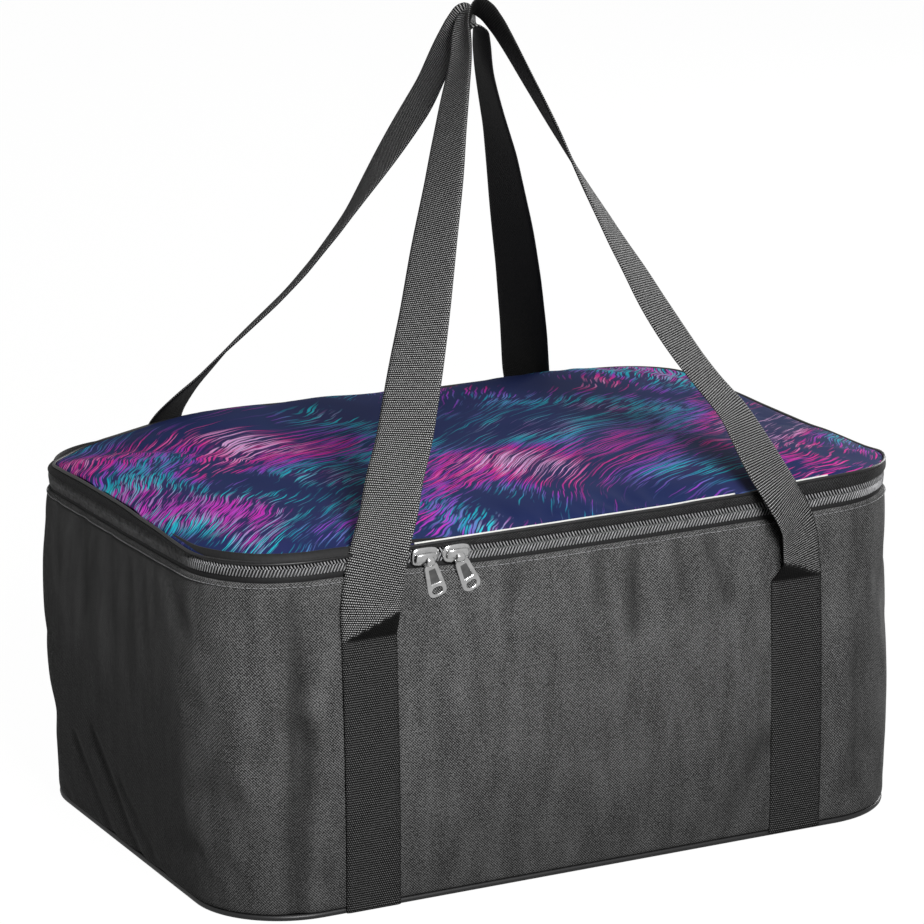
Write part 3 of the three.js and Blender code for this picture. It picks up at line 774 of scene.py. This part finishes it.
def buildWall(shape):
    bottom, top, inner = shape["bottom"], shape["top"], shape["foamInner"]
    rows = [ringAt(0.0012, bottom - 0.0003)]
    rows += [ringAt(0, z, shape["ruffle"] * math.sin(math.pi * z / top), creases=False)
             for z in np.linspace(bottom, top - 0.0015, shape["rows"])]
    outerRows = len(rows)
    rows += [ringAt(*spot) for spot in (
        (0.0006, top - 0.0002), (0.0016, top + 0.0001), (0.0039, top - 0.0002), (0.0040, 0.2232),
        (inner, 0.2220), *((inner, z) for z in np.linspace(0.2150, bottom, shape["innerRows"])))]
    climb = shape["climbShare"] * climbAt(ringPoints)
    for row in rows:
        row[:, 2] += climb * smoothStep(row[:, 2], shape["climbFrom"], top)
    wall = hoopPiece("bagWall", rows)
    x, y, z = np.abs(np.concatenate(rows)).T
    underStrap = (np.abs(x - shape["strapX"]) < shape["strapReach"]) & (y > shape["strapFrom"])
    inside = np.arange(len(x)) >= outerRows * len(ringPoints)
    pinned = (z < shape["pinnedBelow"]) | (z > shape["pinnedAbove"]) | underStrap | inside
    clothSettle(wall, pinned, 0.9, 0.003, -0.005)
    # The creases go in after it, or the padding would push them out again
    points = pointsOf(wall.data)
    flat = np.concatenate([np.column_stack([ringPoints, row[:, 2]]) for row in rows[:outerRows]])
    deep = creaseDepth(flat)
    points[:len(flat), :2] -= np.tile(ringOut, (outerRows, 1)) * deep[:, None]
    movePoints(wall, points)
    # Painted shade, kept in an attribute: full in creases of the given depth, and in part towards the floor
    paintedShade = np.zeros(len(points))
    paintedShade[:len(flat)] = np.clip(deep / shape["fullShadeDepth"], 0, 1) \
        + shape["floorShade"] * (1 - smoothStep(flat[:, 2], 0, shape["floorShadeHeight"]))
    addAttribute(wall, "paintedShade", paintedShade.clip(0, 1))
    subdivided(wall)
    dress(wall, twill, "body", ("outer_wall", "wall_foam"))


buildWall(wallShape)
print("wall built")


# Base: cloth underside, board and foam in one pad, with a piping cord round its edge. Sections are in mm

basePad = {
    "section": [(4.6, 0), (4.6, 0.3), (4.4, 3.0), (5.0, 4.0), (7.8, 4.6), (7.8, 9.3)],
    "cord": 0.00215, "cordLow": 0.0001, "cordSides": 12,
}


def buildBase(shape):
    base = gridPiece("basePad", ringsOf(shape["section"]), caps="discs")
    planarUv(base)
    dress(base, twill, "body", ("base_panel", "base_board", "base_foam"))
    radius = shape["cord"]
    piping = hoopPiece("basePiping", [flatRing(*spot) for spot in cordProfile(
        radius, shape["cordLow"] + radius, radius, shape["cordSides"])])
    dress(piping, blackPiping, "body", ("base_piping",))


buildBase(basePad)
print("base built")


# Lining, and the binding that covers the walls' raw top edge

lining = {
    "outer": 0.0078, "inner": 0.0086, "bottom": 0.0096, "top": 0.231, "rows": 26, "floor": 0.0008,
    "floorGap": 0.0003,
    "rim": [(5.8, 222.4), (5.8, 230.6), (6.4, 231.5), (8.6, 231.5), (9.3, 230.6), (9.3, 222.6), (8.7, 222.6),
            (8.7, 231.1), (6.4, 231.1), (6.4, 222.4)],
}


# A thin flat sheet with crisp edges
def foilSheet(name, rows, body, node):
    sheet = gridPiece(name, rows, caps="discs")
    sharpEdges(sheet)
    planarUv(sheet)
    dress(sheet, foil, body, (node,))


def buildLining(shape):
    heights = np.linspace(shape["bottom"], shape["top"], shape["rows"])
    skin = hoopPiece("wallLining", [ringAt(shape["outer"], z) for z in heights]
                     + [ringAt(shape["inner"], z) for z in heights[::-1]])
    dress(skin, foil, "body", ("wall_lining",))
    inset, bottom = shape["inner"] + shape["floorGap"], shape["bottom"]
    foilSheet("floorLining", [flatRing(inset, z) for z in (bottom, bottom + shape["floor"])], "body",
              "floor_lining")
    rim = hoopPiece("rimBinding", ringsOf(shape["rim"]))
    dress(rim, tape, "body", ("rim_binding",))


buildLining(lining)
print("lining built")


# The left rear corner of the lid is drawn in
def cornerPull(points):
    gap = ((points[:, :2] - lidShape["cornerPlace"]) ** 2).sum(axis=1)
    return lidShape["cornerPull"] * np.exp(-gap / (2 * lidShape["cornerReach"] ** 2))


def pulledRing(inset, z, share=1.0):
    points = flatRing(inset, z)
    points[:, :2] -= ringOut * (cornerPull(ringPoints) * share)[:, None]
    return points


def buildLid(shape):
    edge, sway = shape["edge"], lidSway(ringPoints)
    # Printed top over its foam: rings that shrink towards the middle, crowned as padding does
    rows = [pulledRing(inset, z + sway * share) for inset, z, share in (
        (0.0064, 0.2434, 0.15), (0.0060, 0.2462, 0.6), (0.0034, 0.2478, 1), (0.0020, edge - 0.0006, 1),
        (0.0018, edge + 0.0002, 1))]
    for inset in np.concatenate([np.linspace(0.0026, 0.03, 8), np.linspace(0.037, 0.16, 18)]):
        share = max(1 - inset / (outline["halfDepth"] - 0.003), 0.03)
        points = pulledRing(min(inset, shape["shrinkFrom"]), 0, share ** 2)
        shrink = max(inset - shape["shrinkFrom"], 0) / (shape["shrinkTo"] - shape["shrinkFrom"])
        points[:, :2] *= (1 - shrink * 0.45, 1 - shrink * 0.97)
        crown = shape["crown"] * (1 - math.exp(-inset / shape["crownReach"] * 2.2)) \
            * (1 - 70 * cornerPull(points))
        points[:, 2] = edge + 0.0006 + sway * share ** 1.5 + crown
        points[:, 2] += softNoise(points, shape["waveSize"], 5.7) * shape["wave"]
        rows.append(points)
    top = gridPiece("lidTop", rows, caps="discs")
    planarUv(top)
    clothSettle(top, pointsOf(top.data)[:, 2] < edge + 0.0007, 1.2, 0.004, -0.006)
    subdivided(top)
    dress(top, printed, "lid", ("lid_panel", "lid_foam"))

    # Black side band, a little proud of the zip below it. Its section is inset and share of the height
    over = shape["overhang"]
    low = shape["bandLow"] + climbAt(ringPoints)
    tall = np.maximum(edge - 0.0008 + sway - low, 0.0012)
    band = hoopPiece("lidBand", [pulledRing(inset, low + tall * share, share) for inset, share in (
        (0.0040, 0), (0.0008, 0), (-over, 0.08), (-over * 1.4, 0.35), (-over * 1.4, 0.75), (-over * 0.5, 1),
        (0.0012, 1), (0.0022, 0.75), (0.0022, 0.4), (0.0024, 0.15), (0.0040, 0.12))])
    subdivided(band)
    dress(band, bandTwill, "lid", ("lid_band",))

    # Piping cord in the seam between band and top
    piping = hoopPiece("lidPiping", [pulledRing(inset, z + sway) for inset, z in cordProfile(
        shape["cordInset"], edge + 0.0001, shape["cord"], 10)])
    dress(piping, blackPiping, "lid", ("lid_piping",))


# The printed top's pale selvedge shows along the front seam, in two runs given from the middle of the front
def buildPaleEdge(shape):
    for name, (first, last) in shape["paleEdges"].items():
        steps = np.linspace(outlineLength / 2 + first, outlineLength / 2 + last, 90)
        ring = outlineAt(steps)
        lift = lidSway(ring[0])
        edge = ribbonPiece(name, [flatRing(inset, z + lift, ring) for inset, z in cordProfile(
            shape["paleInset"], shape["edge"] + shape["paleRise"], shape["paleCord"], 10)], steps)
        dress(edge, whitePiping, "lid")


buildLid(lidShape)
print("lid built")

lidInner = {
    "inset": 0.0089, "low": 0.2420, "thickness": 0.0008, "cornerShare": 0.3,
    "rim": [(5.8, 239.5), (5.8, 242.8), (8.7, 242.8), (8.8, 239.6), (8.3, 239.1), (6.4, 239.1)],
}


def buildLidInside(shape):
    rows = [flatRing(shape["inset"], z) for z in (shape["low"], shape["low"] + shape["thickness"])]
    for row in rows:
        row[:, 2] -= shape["cornerShare"] * cornerPull(row)
    foilSheet("lidLining", rows, "lid", "lid_lining")
    rim = hoopPiece("lidBinding", ringsOf(shape["rim"]))
    dress(rim, tape, "lid", ("lid_binding",))


buildLidInside(lidInner)
print("lid inside built")


# Zip: a tape and a row of slanted nylon loops on the body, the same on the lid, and a tab over each end

zipShape = {
    "end": 0.190, "stations": 260, "pitch": 0.00235, "parting": 0.2373, "rowHeight": 0.0049,
    "inset": 0.0013, "lean": 0.0005, "radius": 0.00046, "slant": 0.0021, "wallTop": 226, "wallClimb": 0.85,
    "lowerTape": [(4.5, 222.4), (2.1, 228.9), (2.1, 236.0), (3.1, 236.0), (5.5, 222.4)],
    "upperTape": [(4.5, 247.0), (5.5, 247.0), (3.1, 238.0), (2.1, 238.0), (2.1, 242.5)],
    # A tab's stations along its length and how full it is at each
    "tab": ((0, 0.75), (0.12, 1), (0.5, 1), (0.88, 1), (1, 0.75)), "tabLength": 0.00752,
}
zipSteps = np.linspace(zipShape["end"], outlineLength - zipShape["end"], zipShape["stations"])
zipRing = outlineAt(zipSteps)


def climbingRing(inset, z, ring, share=1.0):
    return flatRing(inset, z + climbAt(ring[0]) * share, ring)


# Raises a wave to a power and keeps its sign, for ovals with fuller corners
def fuller(wave, power):
    return np.copysign(np.abs(wave) ** power, wave)


def zipTape(name, section, body, node):
    wallTop, share = zipShape["wallTop"], zipShape["wallClimb"]
    rows = [climbingRing(inset * mm, z * mm, zipRing, share if z < wallTop else 1) for inset, z in section]
    dress(ribbonPiece(name, rows, zipSteps), tape, body, (node,))


def zipRow(name, fromZ, toZ, offset, body, node):
    count = int((outlineLength - 2 * zipShape["end"]) / zipShape["pitch"])
    places = zipShape["end"] + (np.arange(count) + offset) * zipShape["pitch"]
    inset = zipShape["inset"]
    piece = rodsPiece(name, climbingRing(inset, fromZ, outlineAt(places)),
                      climbingRing(inset - zipShape["lean"], toZ, outlineAt(places + zipShape["slant"])),
                      zipShape["radius"])
    dress(piece, coil, body, (node,))


def zipTab(name, node):
    low, high = (np.array(corner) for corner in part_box(node))
    middle, half = (low + high) / 2, (high - low) / 2
    rows = []
    for angle in onceRound(16):
        out, up = fuller(math.cos(angle), 0.45), fuller(math.sin(angle), 0.45)
        rows.append([middle + half * (2 * t - 1, -swell * out, swell * up) for t, swell in zipShape["tab"]])
    tab = ribbonPiece(name, rows, np.linspace(0, zipShape["tabLength"], len(zipShape["tab"])))
    dress(tab, tape, "body", (node,))


def buildZip(shape):
    middle, tall = shape["parting"], shape["rowHeight"]
    zipTape("zipTapeLower", shape["lowerTape"], "body", "zip_tape_lower")
    zipTape("zipTapeUpper", shape["upperTape"], "lid", "zip_tape_upper")
    zipRow("zipCoilLower", middle - tall, middle - 0.0002, 0.0, "body", "zip_coil_lower")
    zipRow("zipCoilUpper", middle + tall, middle + 0.0004, 0.5, "lid", "zip_coil_upper")
    zipTab("zipEndTabRight", "zip_end_tab_right")
    zipTab("zipEndTabLeft", "zip_end_tab_left")


buildZip(zipShape)
buildPaleEdge(lidShape)
print("zip built")


# Rear hinge: one strip of cloth, sewn to the wall and the lid, curved between them

hingeShape = {
    "halfLength": 0.1885, "stations": 96, "thickness": 1.1,
    "outer": [(183.8, 229.4), (184.3, 231.0), (184.5, 233.0), (184.7, 235.0), (184.8, 237.0), (184.7, 238.5),
              (184.5, 240.0), (184.1, 241.6)],
}


def buildHingeFabric(shape):
    stations = np.linspace(-shape["halfLength"], shape["halfLength"], shape["stations"])
    inner = [(y - shape["thickness"], z) for y, z in shape["outer"][::-1]]
    rows = [[(-x, y * mm, z * mm) for x in stations] for y, z in shape["outer"] + inner]
    strip = ribbonPiece("hingeFabric", rows, stations)
    dress(strip, twill, None, ("hinge_fabric_lower", "hinge_fabric_upper"))
    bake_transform(strip)


buildHingeFabric(hingeShape)
print("hinge built")


# Webbing. Each side is one length: up its left strip, over the handle and down its right strip

webbingShape = {
    "halfWidth": 0.0198, "thickness": 0.0021, "across": 17, "step": 0.0022, "stripX": 0.162,
    "stripFoot": 0.0012, "stripRows": 30, "clearance": 0.0003, "seatTop": 0.186,
    "standOff": 0.196, "leanFrom": 0.252, "leanOver": 0.318, "leanWay": (0.149, 0.5247),
    "tiltFrom": 0.205, "tiltOver": 0.05,
    # Where a hand has rolled the handle to a trough: reach, share of the width lost, and depth
    "grip": 0.048, "gripCurl": 0.36, "gripCup": 0.005,
}


# A leg's rows are height and place along X in mm, and turn: at 0 the webbing lies flat to the wall, at 90 its
# inner edge points straight out. Legs and seams are kept by hand, -1 for the left
def legsOf(leftSeam, rightSeam, left, top, right):
    left, top, right = ([(z * mm, x * mm, turn) for z, x, turn in rows] for rows in (left, [top], right))
    return {"seams": {-1: leftSeam * mm, 1: rightSeam * mm}, -1: left, "top": top[0], 1: right}


frontLegs = legsOf(
    190.5, 186.0,
    [(212.5, -165.0, 30), (240, -160.7, 32), (256, -155.3, 34), (273, -143.9, 34), (291, -135.0, 34),
     (313, -120.5, 38), (350, -101.3, 40), (388, -81.5, 52), (426, -63.0, 59), (463, -44.0, 68),
     (488, -32.3, 75), (515, -18.7, 80), (539, -5.2, 83), (556, 1.0, 88), (565, 7.0, 90)],
    (568.5, 13.0, 90),
    [(204, 161.5, 26), (227, 158.5, 27), (248, 146.8, 18), (267, 138.0, 17), (285, 132.2, 23),
     (303, 126.2, 30), (322, 113.4, 34), (340, 102.9, 31), (359, 93.9, 30), (377, 86.5, 32), (395, 80.6, 37),
     (413, 73.6, 42), (431, 67.6, 47), (449, 61.3, 53), (470, 54.7, 60), (481, 51.6, 64), (510, 42.0, 69),
     (536, 32.5, 73), (552, 26.0, 78), (563, 20.0, 85)])
rearLegs = legsOf(
    186.0, 186.0,
    [(204, -159.0, 14), (225, -153.0, 18), (255, -145.4, 24), (266, -139.1, 30), (277, -131.9, 36),
     (286, -124.2, 41), (305, -111.0, 43), (317, -100.8, 45), (346, -76.1, 46), (370, -60.2, 50),
     (403, -43.4, 53), (437, -31.1, 65), (468, -18.9, 74), (502, -5.6, 78), (530, 0.5, 84), (549, 5.5, 88),
     (559, 9.5, 90)],
    (560.5, 13.0, 90),
    [(204, 159.0, 32), (225, 156.0, 42), (249, 149.3, 49), (292, 135.2, 50), (343, 115.6, 55),
     (389, 96.4, 60), (423, 81.7, 69), (458, 66.4, 76), (496, 47.0, 84), (528, 31.0, 89), (545, 24.8, 90),
     (556, 20.0, 90)])


def smoothed(values, sigma):
    reach = int(sigma * 3) + 1
    kernel = np.exp(-0.5 * (np.arange(-reach, reach + 1) / sigma) ** 2)
    kernel /= kernel.sum()
    padded = np.concatenate([2 * values[:1] - values[reach:0:-1], values,
                             2 * values[-1:] - values[-2:-reach - 2:-1]])
    return np.stack([np.convolve(column, kernel, "valid") for column in padded.T], axis=1)


# Points at given lengths along a line
def sampled(points, lengths, places):
    return np.stack([np.interp(places, lengths, column) for column in points.T], axis=1)


# Where the middle of a sewn strip lies: on the wall's own bulge
def stripSeat(side, x, z):
    wall = outline["halfDepth"]
    out = wallOut(np.array([[x, side * wall, z]]), np.array([[0.0, side, 0.0]]))[0]
    return side * (wall + max(out, 0) + webbingShape["thickness"] / 2 + webbingShape["clearance"])


def webbingLine(side, legs):
    shape = webbingShape

    def lean(z):
        return side * shape["standOff"] * (1 - max(z - shape["leanFrom"], 0) / shape["leanOver"])

    def legRows(hand):
        stripX, seam, (footZ, footX, footTurn) = hand * shape["stripX"], legs["seams"][hand], legs[hand][0]
        rows = [(stripX, stripSeat(side, stripX, z), z, 0)
                for z in np.linspace(shape["stripFoot"], seam, shape["stripRows"])]
        seat = rows[-1][1]
        for t in (0.2, 0.4, 0.6, 0.8):
            z = seam + (footZ - seam) * t
            rows.append((stripX + (footX - stripX) * t * 0.5, seat + (lean(z) - seat) * t ** 0.7, z,
                         footTurn * t ** 0.6))
        return rows + [(x, lean(z), z, turn) for z, x, turn in legs[hand]]

    z, x, turn = legs["top"]
    controls = np.array(legRows(-1) + [(x, lean(z), z, turn)] + legRows(1)[::-1])
    lengths = runLengths(controls[:, :3])
    even = np.arange(0, lengths[-1], shape["step"])
    line = sampled(controls, lengths, even)
    # It bends sharply over the seam and at the top, and softly elsewhere
    sharp = np.exp(-((line[:, 2:3] - shape["seatTop"] - 0.004) / 0.014) ** 2)
    turns = smoothed(line[:, 3:], 7) * (1 - sharp) + smoothed(line[:, 3:], 1) * sharp
    sharp = np.maximum(sharp, smoothStep(line[:, 2:3], z - 0.030, z - 0.012))
    soft = smoothed(line[:, :3], 3) * (1 - sharp) + smoothed(line[:, :3], 0.9) * sharp
    return soft, turns[:, 0], even


# Just over its seam the webbing leans out to a diagonal crease, from where its inner edge stands free
def footFold(side, hand, foot, seam, z, spread):
    shape = webbingShape
    footZ, footX, turn = foot
    half, cosTurn, sinTurn = shape["halfWidth"], math.cos(math.radians(turn)), math.sin(math.radians(turn))
    rise = (z - seam) / (footZ - seam)
    seat = abs(stripSeat(side, hand * shape["stripX"], seam))
    clear = shape["standOff"] - half * sinTurn - seat
    slope = (clear + 2 * half * sinTurn) * rise
    points, shadeMarks = [], []
    for s in spread:
        lift = clear * rise + half * (1 + s) * sinTurn
        share = min(1, slope / max(lift, 1e-6))
        flatX = hand * (shape["stripX"] - half * s)
        edgeX = hand * (shape["stripX"] + half) * (1 - rise) + (footX + hand * half * cosTurn) * rise
        turnedX = edgeX - hand * half * (1 + s) * cosTurn
        points.append((flatX + (turnedX - flatX) * share, side * (seat + min(lift, slope)), z))
        # Cells under the fold are marked for painted shadow
        shadeMarks.append(2.0 if share < 0.97 else 0.0)
    return points, shadeMarks


def buildWebbing(name, side, legs, nodes):
    shape = webbingShape
    half, thick = shape["halfWidth"], shape["thickness"] / 2
    line, turns, lengths = webbingLine(side, legs)
    tangent = unit(np.gradient(line, axis=0))
    tilt = np.clip((line[:, 2] - shape["tiltFrom"]) / shape["tiltOver"], 0, 1)
    outward = np.stack([np.zeros(len(line)), side * (1 - shape["leanWay"][0] * tilt),
                        shape["leanWay"][1] * tilt], axis=1)
    outward = unit(outward - tangent * (tangent * outward).sum(axis=1, keepdims=True))
    angle = np.radians(turns)[:, None]
    width = np.cross(tangent, outward) * -side * np.cos(angle) + outward * np.sin(angle)
    face = np.cross(tangent, width) * side
    top = np.array([legs["top"][1], 0, legs["top"][0]])
    roll = np.exp(-(np.linalg.norm(line - top, axis=1) / shape["grip"]) ** 2)
    spread = np.linspace(-1, 1, shape["across"])
    middles, strapShadeMarks, foldRows = [], [], []
    for centre, w, f, curl in zip(line, width, face, roll):
        hand = 1 if centre[0] > 0 else -1
        foot, seam = legs[hand][0], legs["seams"][hand]
        foldRows.append(seam < centre[2] < foot[0])
        if foldRows[-1]:
            points, shadeMarks = footFold(side, hand, foot, seam, centre[2], spread)
        else:
            reach, cup = half * (1 - shape["gripCurl"] * curl), shape["gripCup"] * curl
            points = [centre + w * s * reach + f * cup * (s * s - 0.33) for s in spread]
            shadeMarks = np.full(len(spread), float(centre[2] <= seam))
        middles.append(points)
        strapShadeMarks.append(shadeMarks)
    middles, strapShadeMarks = np.array(middles), np.array(strapShadeMarks)
    # Eases the change from the fold to the free webbing
    for row in range(5, len(middles) - 5):
        if foldRows[row] != foldRows[row + 1] and line[row, 2] > shape["seatTop"] + 0.008:
            for _ in range(4):
                near = middles[row - 4:row + 6]
                near[1:-1] = (near[:-2] + 2 * near[1:-1] + near[2:]) / 4
    normals = unit(np.cross(np.gradient(middles, axis=0), np.gradient(middles, axis=1)) * side)
    # The selvedges are thinner than the rest
    depth = (thick * (1 - np.maximum(np.abs(spread) - 0.93, 0) / 0.07 * 0.55))[None, :, None]
    rows = np.concatenate([middles + normals * depth, (middles - normals * depth)[:, ::-1]], axis=1)
    across = (spread + 1) * half
    piece = gridPiece(name, rows, upColumn=lengths, caps="ends", alongRow=np.concatenate(
        [across, 2 * half + thick * 2 + across, [4 * half + thick * 4]]))
    tidyNormals(piece)
    # Painted shade: the sewn strip and the shadow under its fold, and the whole inner face
    addAttribute(piece, "strapShade", np.concatenate([strapShadeMarks, strapShadeMarks[:, ::-1]], axis=1).ravel())
    addAttribute(piece, "inner", np.concatenate([(strapShadeMarks > 1) * 0.85, np.ones(strapShadeMarks.shape)], axis=1).ravel())
    dress(piece, webbing, None, nodes)
    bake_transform(piece)


buildWebbing("frontWebbing", -1, frontLegs,
             ("front_left_strap", "front_right_strap", "front_handle"))
buildWebbing("rearWebbing", 1, rearLegs,
             ("rear_left_strap", "rear_right_strap", "rear_handle"))
print("webbing built")


# Sliders and pulls. A slider is a domed plate over the coil with a raised bridge that the pull hangs from

sliderShape = {
    "length": 0.0210, "height": 0.0134, "face": 0.1834, "middle": 0.2384, "sides": 40, "climbShare": 0.5,
    # The dome's rings in mm: share of the outline, and how far out
    "dome": [(0.90, -1.6), (1.0, -1.0), (1.0, 0.4), (0.95, 1.2), (0.80, 1.9), (0.55, 2.4), (0.25, 2.6),
             (0.02, 2.6)],
    "bridgeSpan": 0.0156, "bridgeOut": 0.0034, "bridgeWide": 0.0028, "bridgeThick": 0.0009, "bridgeZ": 0.2400,
    "bridgeSides": 14, "bridgeRows": 25,
}
pullShape = {
    "length": 0.0268, "topWidth": 0.0094, "endWidth": 0.0150, "thick": 0.0003, "rim": 0.0007, "neck": 0.0026,
    "windowTop": 0.0056, "windowBottom": 0.0172, "frame": 0.0018, "holeMiddle": 0.0218, "holeHalf": 0.0030,
    "lean": 5.0, "sag": 0.6, "axisY": -0.1871, "axisZ": 0.2370, "weld": 0.000005,
    "eyeReach": 0.0031, "eyeRadius": 0.0007, "eyeHalf": 0.0027,
}


def sliderPiece(name, centreX, node):
    shape = sliderShape
    middle = shape["middle"] + climbAt(np.array([[centreX, -outline["halfDepth"]]]))[0] * shape["climbShare"]
    around = onceRound(shape["sides"])
    edgeX = fuller(np.cos(around), 0.62) * shape["length"] / 2
    edgeZ = fuller(np.sin(around), 0.72) * shape["height"] / 2
    rows = [np.stack([centreX + edgeX * share, np.full(len(around), -shape["face"] - out * mm),
                      middle + edgeZ * share], axis=1) for share, out in shape["dome"]]
    plate = gridPiece(name, rows, alongRow=np.linspace(0, 0.05, len(around) + 1))
    dress(plate, nickel, node, (node,))

    # The bridge: a flat bar bowed outwards along the zip
    rows = []
    for step in np.linspace(0, math.pi, shape["bridgeRows"]):
        x = centreX - math.cos(step) * shape["bridgeSpan"] / 2
        out = shape["face"] + 0.0012 + math.sin(step) ** 0.6 * shape["bridgeOut"]
        way = unit(np.array([-math.cos(step) * 0.5, -math.sin(step) - 0.15, 0]))
        centre = np.array([x, -out, shape["bridgeZ"] - 0.001 + 0.001 * math.sin(step)])
        rows.append([centre + way * math.cos(a) * shape["bridgeThick"]
                     + (0, 0, math.sin(a) * shape["bridgeWide"]) for a in onceRound(shape["bridgeSides"])])
    bridge = gridPiece(name + "Bridge", rows, alongRow=np.linspace(0, 0.01, shape["bridgeSides"] + 1))
    subdivided(bridge)
    dress(bridge, nickel, node)


# A flat casting from closed outlines: the first is its edge, the others are openings
def castPiece(name, outlines, thickness, rim, place):
    curve = bpy.data.curves.new(name, "CURVE")
    curve.dimensions = "2D"
    curve.fill_mode = "BOTH"
    curve.extrude = thickness
    curve.bevel_depth = rim
    curve.bevel_resolution = 3
    for points in outlines:
        spline = curve.splines.new("POLY")
        spline.points.add(len(points) - 1)
        spline.points.foreach_set("co", np.array([(x, y, 0, 1) for x, y in points], float).ravel())
        spline.use_cyclic_u = True
    holder = bpy.data.objects.new(name, curve)
    mesh = bpy.data.meshes.new_from_object(holder)
    bpy.data.objects.remove(holder)
    bpy.data.curves.remove(curve)
    piece = newPiece(name, [place(*v.co) for v in mesh.vertices], [tuple(f.vertices) for f in mesh.polygons])
    bpy.data.meshes.remove(mesh)
    tidyNormals(piece, pullShape["weld"])
    sharpEdges(piece)
    return piece


# Rounds the corners of a polygon with a few points each
def roundedOutline(corners, radius, steps=5):
    corners = np.array(corners, float)
    made = []
    for corner, before, after in zip(corners, np.roll(corners, 1, axis=0), np.roll(corners, -1, axis=0)):
        sides = [before - corner, after - corner]
        reach = min(radius, *(np.linalg.norm(side) * 0.48 for side in sides))
        start, end = (corner + unit(side) * reach for side in sides)
        made += [start * (1 - t) ** 2 + corner * 2 * t * (1 - t) + end * t ** 2
                 for t in np.linspace(0, 1, steps)]
    return made


def pullPieces(name, centreX, slant, node):
    shape = pullShape
    rim, frameIn, neck, length = shape["rim"], shape["frame"], shape["neck"], shape["length"]
    top, end = shape["topWidth"] / 2 - rim, shape["endWidth"] / 2 - rim

    def halfAt(v):
        return top + (end - top) * v / length

    def window(inset, grow):
        halfTop, halfLow = halfAt(shape["windowTop"]) - inset, halfAt(shape["windowBottom"]) - inset
        high, low = shape["windowTop"] - grow, shape["windowBottom"] + grow
        return roundedOutline([(-halfTop, high), (halfTop, high), (halfLow, low), (-halfLow, low)], 0.0008)

    turn, lean = math.radians(slant), math.radians(shape["lean"])
    pivot = np.array([centreX, shape["axisY"], shape["axisZ"]])

    def place(u, v, w):
        down = v * math.cos(turn) - u * math.sin(turn)
        return pivot + (u * math.cos(turn) + v * math.sin(turn),
                        down * math.sin(lean) * shape["sag"] - w * math.cos(lean),
                        -down * math.cos(lean) - w * math.sin(lean))

    foot, shoulder = length - rim - 0.0004, halfAt(0.0034)
    edge = roundedOutline([(-neck, 0.0010), (neck, 0.0010), (neck, 0.0022), (shoulder, 0.0036), (end, foot),
                           (-end, foot), (-shoulder, 0.0036), (-neck, 0.0022)], 0.0050)
    hole = [((end - frameIn - 0.0004) * fuller(math.cos(a), 0.8),
             shape["holeMiddle"] + shape["holeHalf"] * math.sin(a)) for a in onceRound(27)]
    plate = castPiece(name, [edge, window(frameIn, 0), hole], shape["thick"], rim, place)
    dress(plate, nickel, node, (node,))
    panel = castPiece(name + "Panel", [window(frameIn * 0.6, 0.0006)], 0.0002, 0.0001, place)
    dress(panel, panelNickel, node)
    # The eye round the bridge
    reach, radius, wide = shape["eyeReach"], shape["eyeRadius"], shape["eyeHalf"]
    rows = [[pivot + np.array([0, math.cos(a), math.sin(a)]) * (reach + radius * math.cos(b))
             + (wide * math.sin(b), 0, 0) for b in onceRound(12)] for a in onceRound(24)]
    eye = gridPiece(name + "Eye", rows, closeRows=True, alongRow=np.linspace(0, 0.01, 13))
    tidyNormals(eye, shape["weld"])
    sharpEdges(eye)
    dress(eye, nickel, node)


sliderPiece("leftSlider", -0.1192, "left_slider")
sliderPiece("rightSlider", -0.0958, "right_slider")
pullPieces("leftPull", -0.1174, 16, "left_pull")
pullPieces("rightPull", -0.0952, 24, "right_pull")
print("sliders and pulls built")


# Stitch rows of short threads: pale in the hem under the zip, dark along the strips

stitching = {
    "length": 0.0026, "gap": 0.0018, "first": 0.001, "hemRadius": 0.00040, "strapRadius": 0.00028,
    "hemOut": 0.0004, "hemHeight": 0.2262, "hemSteps": 700, "fromEdge": 0.0165, "foot": 0.005,
    "underSeam": 0.006, "proud": 0.0001, "strapSteps": 60,
}


def stitchPiece(name, points, material, radius):
    run, length = runLengths(points), stitching["length"]
    starts = np.arange(stitching["first"], run[-1] - length, length + stitching["gap"])
    piece = rodsPiece(name, *(sampled(points, run, places) for places in (starts, starts + length)), radius, 5)
    dress(piece, material, "body")


def buildStitches(shape):
    ring = outlineAt(np.linspace(0.0, outlineLength - shape["first"], shape["hemSteps"]))
    hem = ringAt(-shape["hemOut"], shape["hemHeight"], ring=ring)
    hem[:, 2] += wallShape["climbShare"] * climbAt(ring[0])
    stitchPiece("hemStitching", hem, thread, shape["hemRadius"])
    proud = webbingShape["thickness"] / 2 + shape["proud"]
    heights = np.linspace(shape["foot"], webbingShape["seatTop"] - shape["underSeam"], shape["strapSteps"])
    for side, front in ((-1, "front"), (1, "rear")):
        for hand, x in (("Left", -webbingShape["stripX"]), ("Right", webbingShape["stripX"])):
            for edge in (-1, 1):
                line = np.array([(x + edge * shape["fromEdge"], stripSeat(side, x, z) + side * proud, z)
                                 for z in heights])
                stitchPiece(front + hand + ("StitchOuter" if edge * x > 0 else "StitchInner"), line,
                            strapThread, shape["strapRadius"])


buildStitches(stitching)
print("stitches built")

scene.frame_set(1)
